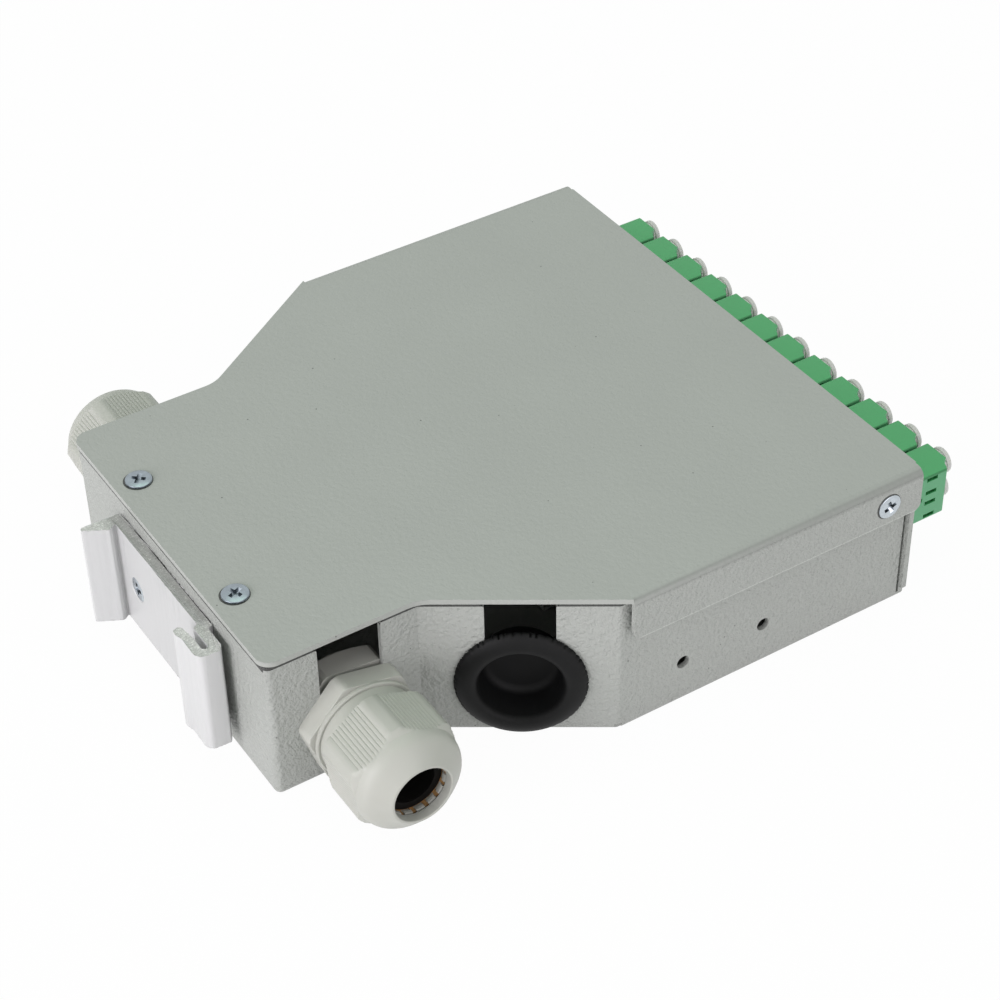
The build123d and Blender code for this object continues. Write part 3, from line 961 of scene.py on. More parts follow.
    @staticmethod
    def loose(name: str, mesh: bmesh.types.BMesh) -> bpy.types.Object:
        """Turn a mesh into an object that isn't dressed yet.

        Args:
            name: Name of the object.
            mesh: Its mesh, which is freed.

        Returns:
            The object.
        """
        data = bpy.data.meshes.new(name)
        mesh.to_mesh(data)
        mesh.free()
        made = bpy.data.objects.new(name, data)
        bpy.context.scene.collection.objects.link(made)
        return made

    @staticmethod
    def carve(target: bpy.types.Object, tools: Sequence[bmesh.types.BMesh],
              add: bool = False) -> None:
        """Cut shapes out of an object, or weld them on.

        Args:
            target: The object that changes.
            tools: The shapes, which are freed.
            add: Weld on instead of cutting.
        """
        tool = Shape.loose("tool", Shape.gather(tools))
        change = target.modifiers.new("carve", "BOOLEAN")
        change.operation = "UNION" if add else "DIFFERENCE"
        change.solver = "EXACT"
        change.use_self = True
        change.object = tool
        bpy.context.view_layer.update()
        solid = target.evaluated_get(bpy.context.evaluated_depsgraph_get())
        data = bpy.data.meshes.new_from_object(solid)
        target.modifiers.clear()
        old = target.data
        target.data = data
        bpy.data.meshes.remove(old)
        bpy.data.objects.remove(tool)

    @staticmethod
    def ease(target: bpy.types.Object, width: float, steps: int, angle: float,
             flush: bool = True) -> None:
        """Ease the sharp edges of an object.

        Args:
            target: The object.
            width: Width of the eased edge.
            steps: Number of steps over it.
            angle: Edges sharper than this are eased, in degrees.
            flush: Keep the faces beside it flat.
        """
        bevel = target.modifiers.new("eased_edges", "BEVEL")
        bevel.width = width
        bevel.segments = steps
        bevel.limit_method = "ANGLE"
        bevel.angle_limit = math.radians(angle)
        bevel.harden_normals = flush

    @staticmethod
    def fit(target: bpy.types.Object, spot: Matrix, material: bpy.types.Material, slot: str,
            node: str, angle: float, body: str = ROOT_BODY) -> None:
        """Smooth a piece, put it in its place in the frame and dress it.

        Args:
            target: The piece.
            spot: Its place in the row frame.
            material: Its finish.
            slot: The record's material slot; not used.
            node: Node that it replaces.
            angle: Edges sharper than this stay sharp, in degrees.
            body: The body it rides on.
        """
        for face in target.data.polygons:
            face.use_smooth = True
        target.data.set_sharp_from_angle(angle=math.radians(angle))
        target.data.transform(spot)
        target.data.materials.clear()
        target.data.materials.append(material)
        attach(target, body)
        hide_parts(node)


def outward(x: float, y: float, z: float, out_x: float, out_y: float) -> Matrix:
    """Place a piece built along +X so that it points outward in plan.

    Args:
        x: Place along X.
        y: Place along Y.
        z: Height.
        out_x: X of the outward direction.
        out_y: Y of the outward direction.

    Returns:
        The placing matrix.
    """
    out = Vector((out_x, out_y, 0)).normalized()
    level = Vector((-out.y, out.x, 0))
    turn = Matrix((out, level, Vector((0, 0, 1)))).transposed().to_4x4()
    return Matrix.Translation((x, y, z)) @ turn


def paint_node(name: str, material: bpy.types.Material) -> bpy.types.Object:
    """Give a node of the frame another finish.

    Args:
        name: The node.
        material: The finish.

    Returns:
        The node's object.
    """
    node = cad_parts[name]
    for slot in node.material_slots:
        slot.material = material
    return node


@dataclass
class SheetMetal:
    """Folded tray and cover, kept from the frame with painted, eased edges."""

    palette: Palette
    edge: float = 0.22 * MM

    def build(self) -> None:
        """Dress both sheets."""
        coats = {"tray": self.palette.tray_paint, "cover": self.palette.paint}
        for name, coat in coats.items():
            node = paint_node(name, coat)
            weld = node.modifiers.new("weld", "WELD")
            weld.merge_threshold = 0.002 * MM
            Shape.ease(node, self.edge, 3, 40)
            LOG.info("dressed %s", name)


@dataclass
class RailClip:
    """Sawn extrusion that hooks over the rail: a fixed leg, a plate and a springing hook."""

    palette: Palette
    tip: float = 9.3 * MM
    screw_hole_r: float = 1.7 * MM
    burr: float = 0.17 * MM
    burr_from: float = 0.12 * MM
    facet: float = 0.38 * MM
    corner: float = 0.5 * MM
    bow: float = 1.6 * MM
    hook: Point = (-5.4 * MM, -17.0 * MM)
    # Section seen from above: x outwards from the front wall, y across, in millimetres
    section: tuple[Point, ...] = (
        (0, 20.1), (-0.5, 20.8), (-8.8, 21.0), (-9.3, 20.6), (-9.3, 20.0),
        (-4.4, 17.3), (-3.7, 17.45), (-2.6, 18.4), (-2.6, -18.0), (-3.7, -18.4),
        (-3.7, -24.6), (-4.4, -25.2), (-5.1, -24.6), (-5.0, -21.4), (-5.5, -17.2),
        (-6.2, -16.6), (-7.4, -17.0), (-7.5, -18.4), (-7.0, -20.0), (-7.1, -25.4),
        (-6.2, -26.8), (-2.2, -27.0), (-1.4, -25.6), (-1.3, -20.2), (0, -19.4))

    def outline(self) -> list[Point]:
        """Round the section's corners, the hook's outer ones widely.

        Returns:
            The dense outline, x measured from the front wall.
        """
        sharp = placed(self.section)
        steps = 5
        wide = Shape.rounded(sharp, self.bow, steps)
        tight = Shape.rounded(sharp, self.corner, steps)
        soft = []
        for i, (x, y) in enumerate(sharp):
            hook = x < self.hook[0] and y < self.hook[1]
            soft += (wide if hook else tight)[(steps + 1) * i:(steps + 1) * (i + 1)]
        return Shape.dense(soft, self.facet)

    def build(self) -> None:
        """Make the clip with burred sawn ends and sunk screw holes."""
        low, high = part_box("rail_clip")
        outline = self.outline()
        middle = tuple(sum(point[axis] for point in outline) / len(outline) for axis in (0, 1))
        rings = []
        for z, inward in ((low[2], 1), (low[2] + self.burr_from, 0),
                          (high[2] - self.burr_from, 0), (high[2], -1)):
            ring = []
            for i, (x, y) in enumerate(outline):  # Two sines that never fall in step
                wave = abs(math.sin(i * 1.93) * math.sin(i * 0.61 + 0.8))
                pull = abs(inward) * wave * self.burr / math.dist((x, y), middle)
                ring.append(Vector((low[0] + self.tip + x + (middle[0] - x) * pull,
                                    y + (middle[1] - y) * pull,
                                    z + inward * wave * self.burr)))
            rings.append(ring)
        clip = Shape.loose("rail_clip_dressed", Shape.skin(rings, capped=True))
        Shape.carve(clip, self.sinks())
        Shape.fit(clip, Matrix.Identity(4), self.palette.clip, "clip_metal", "rail_clip", 35)
        LOG.info("made %s", clip.name)

    def sinks(self) -> list[bmesh.types.BMesh]:
        """Make the countersunk holes that are cut out for the two screws.

        Returns:
            The cutting meshes.
        """
        low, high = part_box("clip_screws")
        holes = []
        for y in (low[1] + SCREW_R, high[1] - SCREW_R):
            wide, small = SCREW_R + 0.05 * MM, self.screw_hole_r
            hole = Shape.turned([(3 * MM, 0.0), (3 * MM, wide), (0.0, wide),
                                 (small - wide, small), (-8 * MM, small), (-8 * MM, 0.0)], 48)
            spot = outward(low[0], y, (low[2] + high[2]) / 2, -1, 0)
            bmesh.ops.transform(hole, matrix=spot, verts=hole.verts)
            holes.append(hole)
        return holes


@dataclass
class ScrewSet:
    """Cross-head countersunk screws, made once for each pair."""

    palette: Palette
    cone: float = 1.35 * MM
    shank_r: float = 1.45 * MM
    recess_long: float = 3.5 * MM
    recess_wide: float = 1.0 * MM
    recess_deep: float = 0.85 * MM
    crown: float = 0.12 * MM
    rim: float = 0.32 * MM
    groove: float = 0.12 * MM
    pitch: float = 0.5 * MM
    thread: float = 0.22 * MM

    def head(self, name: str, length: float, turn: float, proud: float) -> bpy.types.Object:
        """Make one screw along X with its head's top at x = 0.

        Args:
            name: Name of the piece.
            length: Full length.
            turn: How far the cross is turned, in degrees.
            proud: How far the head stands out of its sheet.

        Returns:
            The screw.
        """
        pitch = self.pitch
        rim = max(self.rim, proud)
        profile = [(0.0, 0.0), (-0.3 * self.crown, SCREW_R * 0.45),
                   (-self.crown, SCREW_R - self.crown * 1.6),
                   (-self.crown * 1.8, SCREW_R - self.crown * 0.3),
                   (-self.crown * 2.6, SCREW_R), (-rim, SCREW_R - 0.03 * MM),
                   (-rim, SCREW_R - rim), (-self.cone, self.shank_r)]
        if proud > self.rim:
            profile[5:6] = [(-0.5 * rim, SCREW_R), (-0.58 * rim, SCREW_R - self.groove),
                            (-0.75 * rim, SCREW_R - self.groove),
                            (-0.83 * rim, SCREW_R), (-rim, SCREW_R - 0.03 * MM)]
        along = -self.cone
        while along - pitch > -length + 0.3 * MM:
            profile += [(along - pitch * 0.4, self.shank_r - self.thread),
                        (along - pitch, self.shank_r)]
            along -= pitch
        profile += [(-length, self.shank_r - 0.5 * MM), (-length, 0.0)]
        screw = Shape.loose(name, Shape.turned(profile, 64))
        Shape.carve(screw, [self.cross(turn), self.cross(turn + 90)])
        return screw

    def cross(self, turn: float) -> bmesh.types.BMesh:
        """Make one wing of the tapered cross recess.

        Args:
            turn: Its turn about X, in degrees.

        Returns:
            The mesh.
        """
        wide, half = self.recess_wide / 2, self.recess_long / 2
        rings = []
        for along, share in ((0.3 * MM, 1.10), (-self.recess_deep, 0.42)):
            y, z = half * share, wide * (0.55 + 0.45 * share)
            rings.append([(along, y, z), (along, -y, z), (along, -y, -z), (along, y, -z)])
        wing = Shape.skin(rings, capped=True)
        spin = Matrix.Rotation(math.radians(turn), 3, "X")
        bmesh.ops.rotate(wing, verts=wing.verts, matrix=spin)
        return wing

    def build(self) -> None:
        """Make the three pairs and put them in place."""
        finish = self.palette
        self.pair("top_screws", (0, 0, 1), (22.0, 48.0), 0.6 * MM, finish.shaded_top_zinc)
        self.pair("side_screws", (0, 1, 0), (20.0, 70.0), 0.3 * MM, finish.side_zinc)
        self.pair("clip_screws", (-1, 0, 0), (35.0, 10.0), 0.0, finish.clip_zinc)

    def pair(self, node: str, out: tuple[int, int, int], turns: Point, proud: float,
             metal: bpy.types.Material) -> None:
        """Make the two screws of one node.

        Args:
            node: The frame's node.
            out: Outward direction of the screw on the far side.
            turns: Turn of each cross, in degrees.
            proud: How far the heads stand out.
            metal: Their finish.
        """
        low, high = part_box(node)
        screws = []
        for end, turn in zip((-1, 1), turns):
            direction = Vector(out) * (end if out[1] else 1)
            spot = (Vector(low) + Vector(high)) / 2
            depth = max(range(3), key=lambda axis: abs(direction[axis]))
            spot[depth] = high[depth] if direction[depth] > 0 else low[depth]
            length = high[depth] - low[depth]
            if depth == 1:
                length = 6.0 * MM
            else:
                spot.y = low[1] + SCREW_R if end < 0 else high[1] - SCREW_R
            screw = self.head(f"{node}_{'near' if end < 0 else 'far'}", length, turn, proud)
            turned = direction.to_track_quat("X", "Z").to_matrix().to_4x4()
            place = Matrix.Translation(spot) @ turned
            Shape.fit(screw, place, metal, "zinc_screw", node, 38)
            screws.append(screw.name)
        LOG.info("made %s", ", ".join(screws))


@dataclass
class CableGland:
    """Cable gland: hexagon body with fingers, dome nut, seal and locknut."""

    palette: Palette
    side: Side
    spigot: float = 9.0 * MM
    hex_flats: float = 22.2 * MM
    hex_corner: float = 12.6 * MM
    hex_turn: float = -12.0
    hex_thick: float = 4.3 * MM
    hex_steps: int = 20
    ring_r: float = 11.2 * MM
    ring_end: float = 5.2 * MM
    shoulder_r: float = 10.4 * MM
    shoulder_end: float = 8.2 * MM
    thread_r: float = 9.4 * MM
    thread_pitch: float = 1.41 * MM
    thread_end: float = 13.6 * MM
    finger_end: float = 23.4 * MM
    finger_r: float = 7.9 * MM
    finger_tip: Point = (6.3 * MM, 7.0 * MM)
    finger_count: int = 15
    finger_gap: float = 0.9 * MM
    bore_r: float = 6.8 * MM
    nut_start: float = 8.5 * MM
    nut_flats: float = 22.5 * MM
    nut_corner: float = 12.4 * MM
    nut_turns: tuple[float, float] = (-23.0, 10.0)
    nut_long: float = 25.9 * MM
    nut_grooves: int = 10
    nut_pitch: float = 0.86 * MM
    nut_groove: float = 0.17 * MM
    # The nut's profile as (distance from the wall, radius) in millimetres: the foot counts
    # from nut_start, and the radii of foot and shoulder from nut_corner
    nut_foot: tuple[Point, ...] = ((0, -0.45), (0.12, -0.1), (0.4, 0.6))
    nut_shoulder: tuple[Point, ...] = ((16.0, 0.6), (18.4, 0.45), (18.9, 0.1), (19.3, -0.30),
                                       (19.7, -0.68), (20.1, -1.04))
    nut_dome: tuple[Point, ...] = (
        (20.5, 11.28), (21.0, 11.20), (21.5, 11.06), (22.0, 10.84), (22.5, 10.52), (23.0, 10.08),
        (23.5, 9.55), (24.0, 8.95), (24.5, 8.32), (25.0, 7.72), (25.4, 7.24), (25.7, 6.92),
        (25.85, 6.70), (25.9, 6.50), (25.88, 6.34), (25.75, 6.23))
    nut_bore: tuple[Point, ...] = ((23.8, 7.35), (21.5, 8.25), (13.95, 8.25), (13.95, 9.75))
    mouth_r: float = 6.2 * MM
    seal_span: Point = (12.8 * MM, 21.8 * MM)
    seal_r: Point = (4.9 * MM, 6.6 * MM)
    rib_end: float = 23.1 * MM
    rib_r: Point = (6.6 * MM, 7.0 * MM)
    sharp: float = 30.0
    axis: Matrix = field(init=False)

    def __post_init__(self) -> None:
        """Find the gland's axis on the frame."""
        low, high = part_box(f"gland_body_{self.side.word}")
        inner = high[1] if self.side is Side.NEAR else low[1]
        wall = inner + self.side.value * self.spigot
        self.axis = outward((low[0] + high[0]) / 2, wall, (low[2] + high[2]) / 2,
                            0, self.side.value)

    def hexagon_ring(self, x: float, flats: float, limit: float) -> list[Vector]:
        """Ring of a hexagon whose corners stop at a radius.

        Args:
            x: Its place along the axis.
            flats: Width across flats.
            limit: Radius that no corner passes.

        Returns:
            The ring of points.
        """
        ring = []
        for i in range(6 * self.hex_steps):
            angle = 2 * math.pi * i / (6 * self.hex_steps)
            off = (angle + math.pi / 6) % (math.pi / 3) - math.pi / 6
            radius = min(flats / 2 / math.cos(off), limit)
            ring.append(Vector((x, -radius * math.sin(angle), radius * math.cos(angle))))
        return ring

    def body(self) -> bpy.types.Object:
        """Make the gland body: spigot, hexagon, ring, thread and fingers.

        Returns:
            The loose piece.
        """
        flats, corner, thick = self.hex_flats, self.hex_corner, self.hex_thick
        ring, bore = self.ring_r, self.bore_r
        rings = [self.hexagon_ring(x, wide, limit) for x, wide, limit in (
            (0.0, flats, corner - 0.2 * MM), (0.2 * MM, flats, corner),
            (thick - 0.5 * MM, flats, corner), (thick - 0.1 * MM, flats, corner - 0.25 * MM),
            (thick, flats - 0.2 * MM, corner - 0.5 * MM), (thick, 2 * ring, ring - 0.35 * MM),
            (thick, 2 * bore, bore), (0.0, 2 * bore, bore))]
        blank = Shape.loose(f"gland_body_dressed_{self.side.word}", Shape.skin(rings))
        blank.data.transform(Matrix.Rotation(math.radians(self.hex_turn), 4, "X"))
        Shape.carve(blank, [self.barrel(), *self.barrel_threads()], add=True)
        Shape.carve(blank, self.spokes((self.thread_end + 0.6 * MM, 0.0),
                                       (self.finger_end + MM, 12 * MM), 0.5))
        return blank

    def spokes(self, low: Point, high: Point, share: float) -> list[bmesh.types.BMesh]:
        """Make a block for every gap between two fingers.

        Args:
            low: Where the block starts along the axis, and its inner radius.
            high: Where it ends, and its outer radius.
            share: Half its width, as a share of the gap.

        Returns:
            The blocks.
        """
        made = []
        for i in range(self.finger_count):
            half = share * self.finger_gap
            spoke = Shape.block((*low, -half), (*high, half))
            turn = Matrix.Rotation(2 * math.pi * i / self.finger_count, 3, "X")
            bmesh.ops.rotate(spoke, verts=spoke.verts, matrix=turn)
            made.append(spoke)
        return made

    def barrel(self) -> bmesh.types.BMesh:
        """Make the turned core of the body with its ring and finger tips.

        Returns:
            The mesh.
        """
        r, bore, tip = self.thread_r - 0.55 * MM, self.bore_r, self.finger_end
        ring, thick = self.ring_r, self.hex_thick
        return Shape.turned([
            (-self.spigot, bore), (-self.spigot, r), (thick - 0.5 * MM, r),
            (thick - 0.5 * MM, ring - 0.3 * MM), (thick + 0.1 * MM, ring),
            (self.ring_end - 0.25 * MM, ring), (self.ring_end, ring - 0.25 * MM),
            (self.ring_end, self.shoulder_r), (self.shoulder_end - 0.15 * MM, self.shoulder_r),
            (self.shoulder_end, self.shoulder_r - 0.15 * MM), (self.shoulder_end, r),
            (self.thread_end, r),
            (self.thread_end + 0.3 * MM, self.finger_r), (tip - 2.2 * MM, self.finger_r),
            (tip - 0.3 * MM, self.finger_tip[1] + 0.2 * MM), (tip, self.finger_tip[1] - 0.2 * MM),
            (tip, self.finger_tip[0] + 0.2 * MM), (tip - 0.3 * MM, self.finger_tip[0]),
            (tip - 0.9 * MM, self.finger_tip[0]), (tip - 0.9 * MM, bore)], 120)

    def barrel_threads(self) -> list[bmesh.types.BMesh]:
        """Make the ridges of the two threads, behind the wall and under the nut.

        Returns:
            One mesh for each ridge.
        """
        ridges = []
        for start, end in ((-self.spigot + 0.4 * MM, -1.2 * MM),
                           (self.shoulder_end + 0.2 * MM, self.thread_end)):
            along = start
            while along + self.thread_pitch < end:
                low, high = self.thread_r - 0.7 * MM, self.thread_r - 0.1 * MM
                ridges.append(Shape.turned([
                    (along, low), (along + self.thread_pitch * 0.35, high),
                    (along + self.thread_pitch * 0.5, high),
                    (along + self.thread_pitch * 0.85, low)], 96))
                along += self.thread_pitch
        return ridges

    def nut_stations(self) -> list[tuple[float, float]]:
        """Place the points over one flat of the dome nut.

        Returns:
            Distances along the flat, each with its groove depth.
        """
        corner = math.sqrt(self.nut_corner ** 2 - (self.nut_flats / 2) ** 2)
        edge = self.nut_flats / 2 * math.tan(math.pi / 6)
        arc = [corner, corner + (edge - corner) * 0.33, corner + (edge - corner) * 0.67]
        stations = [(-edge, 0.0)] + [(-x, 0.0) for x in reversed(arc)]
        for index in range(self.nut_grooves):
            middle = (index - (self.nut_grooves - 1) / 2) * self.nut_pitch
            half = 0.27 * self.nut_pitch
            stations += [(middle - half, 0.0), (middle, self.nut_groove), (middle + half, 0.0)]
        return stations + [(x, 0.0) for x in arc]

    def nut_ring(self, x: float, limit: float) -> list[Vector]:
        """Ring of the dome nut's outside.

        Args:
            x: Distance from the wall.
            limit: Radius of the turned outline there.

        Returns:
            The ring of points.
        """
        flat, ring = self.nut_flats / 2, []
        for side in range(6):
            for along, groove in self.nut_stations():
                angle = side * math.pi / 3 + math.atan2(along, flat)
                radius = min(math.hypot(flat, along), self.nut_corner)
                fade = max(0.0, min(1.0, (limit - radius) / (0.3 * MM)))
                radius = min(radius - groove * fade, limit)
                ring.append(Vector((x, -radius * math.sin(angle), radius * math.cos(angle))))
        return ring

    def nut(self) -> bpy.types.Object:
        """Make the dome nut with grooved flats, turned corners and a rolled mouth.

        Returns:
            The loose piece.
        """
        corner, start = self.nut_corner, self.nut_start
        turned = [*placed(self.nut_foot, start, corner), *placed(self.nut_shoulder, out=corner),
                  *placed(self.nut_dome), (25.4 * MM, self.mouth_r), (23.8 * MM, self.mouth_r),
                  *placed(self.nut_bore), (start, 9.75 * MM)]
        rings = [self.nut_ring(x, limit) for x, limit in turned]
        nut = Shape.loose(f"dome_nut_dressed_{self.side.word}", Shape.skin(rings))
        turn = self.nut_turns[self.side is Side.FAR]
        nut.data.transform(Matrix.Rotation(math.radians(turn), 4, "X"))
        return nut

    def seal(self) -> bpy.types.Object:
        """Make the seal: a sleeve whose ribs fill the gaps between the fingers.

        Returns:
            The loose piece.
        """
        (start, end), (bore, outer) = self.seal_span, self.seal_r
        sleeve = Shape.turned([(start, bore), (start, outer), (end, outer), (end, bore)], 90)
        ribs = self.spokes((end - 0.4 * MM, self.rib_r[0]), (self.rib_end, self.rib_r[1]), 0.46)
        return Shape.loose(f"gland_seal_dressed_{self.side.word}", Shape.gather([sleeve, *ribs]))

    def backed_off(self) -> float:
        """Find how far the nut is left unscrewed from its box on the frame.

        Returns:
            The distance along the gland's axis.
        """
        low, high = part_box(f"dome_nut_{self.side.word}")
        mouth = high[1] if self.side is Side.FAR else low[1]
        return abs(mouth - self.axis.translation.y) - self.nut_long

    def build(self) -> None:
        """Make the gland's pieces and put them in place."""
        word = self.side.word
        gland, sharp = self.palette.gland, self.sharp
        Shape.fit(self.body(), self.axis, gland, "gland_plastic", f"gland_body_{word}", sharp)
        out = self.axis @ Matrix.Translation((self.backed_off(), 0, 0))
        Shape.fit(self.nut(), out, gland, "gland_plastic", f"dome_nut_{word}", sharp,
                  f"dome_nut_{word}_body")
        Shape.fit(self.seal(), self.axis, self.palette.seal, "seal_rubber",
                  f"gland_seal_{word}", sharp)
        paint_node(f"locknut_{word}", self.palette.gland)
        LOG.info("made gland pieces on the %s side", word)


@dataclass
class BlankingPlug:
    """Rubber plug with a sloping rim, a ragged edge and a deep cup."""

    palette: Palette
    side: Side
    rim_r: float = 13.3 * MM
    rim: float = 2.2 * MM
    cup_r: float = 8.5 * MM
    cup_taper: float = 0.5 * MM
    cup_deep: float = 8.0 * MM
    skin: float = 1.4 * MM
    neck_r: float = 9.85 * MM
    lip_r: float = 11.2 * MM
    lip: float = 1.8 * MM
    sheet: float = 1.2 * MM
    slant: float = 33.73
    tear: float = 0.34 * MM
    widest: float = 1.2 * MM
    # Curves as (distance along the axis, distance out) in millimetres, from the rim's outer
    # edge on the wall, from the cup's mouth and from the corner of its floor
    rim_curve: tuple[Point, ...] = (
        (0, -0.5), (0.15, -0.06), (0.45, 0), (0.85, -0.12), (1.2, -0.45), (1.55, -0.95),
        (1.85, -1.55), (2.06, -2.15), (2.17, -2.75))
    mouth_curve: tuple[Point, ...] = ((0, 1.5), (-0.05, 1.05), (-0.25, 0.6), (-0.65, 0.25),
                                      (-1.3, 0.02))
    floor_curve: tuple[Point, ...] = ((1.6, 0.05), (0.8, -0.25), (0.25, -0.85), (0, -1.7))

    def ragged(self, ring: Sequence[Vector]) -> list[Vector]:
        """Ring with the small torn notches of a badly trimmed edge.

        Args:
            ring: The even ring.

        Returns:
            The ragged ring.
        """
        made = []
        for i, point in enumerate(ring):  # Sines that never fall in step
            wave = math.sin(i * 2.399) * math.sin(i * 0.731 + 1.3) + 0.6 * math.sin(i * 1.17)
            tear = max(0.0, wave - 0.1) * self.tear
            radius = math.hypot(point.y, point.z)
            share = (radius - tear) / radius
            made.append(Vector((point.x, point.y * share, point.z * share)))
        return made

    def build(self) -> None:
        """Make the plug and put it in its hole."""
        word = self.side.word
        floor = self.rim - self.cup_deep
        low = self.cup_r - self.cup_taper
        lip = -self.sheet - 0.1 * MM
        r, cup, rim = self.rim_r, self.cup_r, self.rim
        profile = [(0.0, self.neck_r), *placed(self.rim_curve, out=r),
                   *placed(self.mouth_curve, rim, cup), *placed(self.floor_curve, floor, low),
                   (floor, 0.0), (floor - self.skin, 0.0), (floor - self.skin, low),
                   (lip - self.lip, self.neck_r - 0.2 * MM),
                   (lip - self.lip * 0.4, self.lip_r), (lip, self.lip_r), (lip, self.neck_r)]
        rings = [self.ragged(ring) if 0.05 * MM < along < MM and radius > r - 0.6 * MM else ring
                 for ring, (along, radius) in zip(Shape.circles(profile, 288), profile)]
        plug = Shape.loose(f"plug_{word}", Shape.skin(rings))
        Shape.fit(plug, self.spot(), self.palette.plug, "plug_rubber",
                  f"blanking_plug_{word}", 40)
        LOG.info("made %s", plug.name)

    def spot(self) -> Matrix:
        """Find the plug's axis: its box is widest at the rim, which lies on the wall.

        Returns:
            The placing matrix.
        """
        low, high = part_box(f"blanking_plug_{self.side.word}")
        turn = math.radians(self.slant)
        out = Vector((-math.sin(turn), self.side.value * math.cos(turn)))
        outer = high[1] if self.side is Side.FAR else low[1]
        face = abs(out.y) * self.widest + abs(out.x) * self.rim_r
        y = outer - self.side.value * face
        x = low[0] + abs(out.x) * self.widest + abs(out.y) * self.rim_r
        return outward(x, y, (low[2] + high[2]) / 2, out.x, out.y)


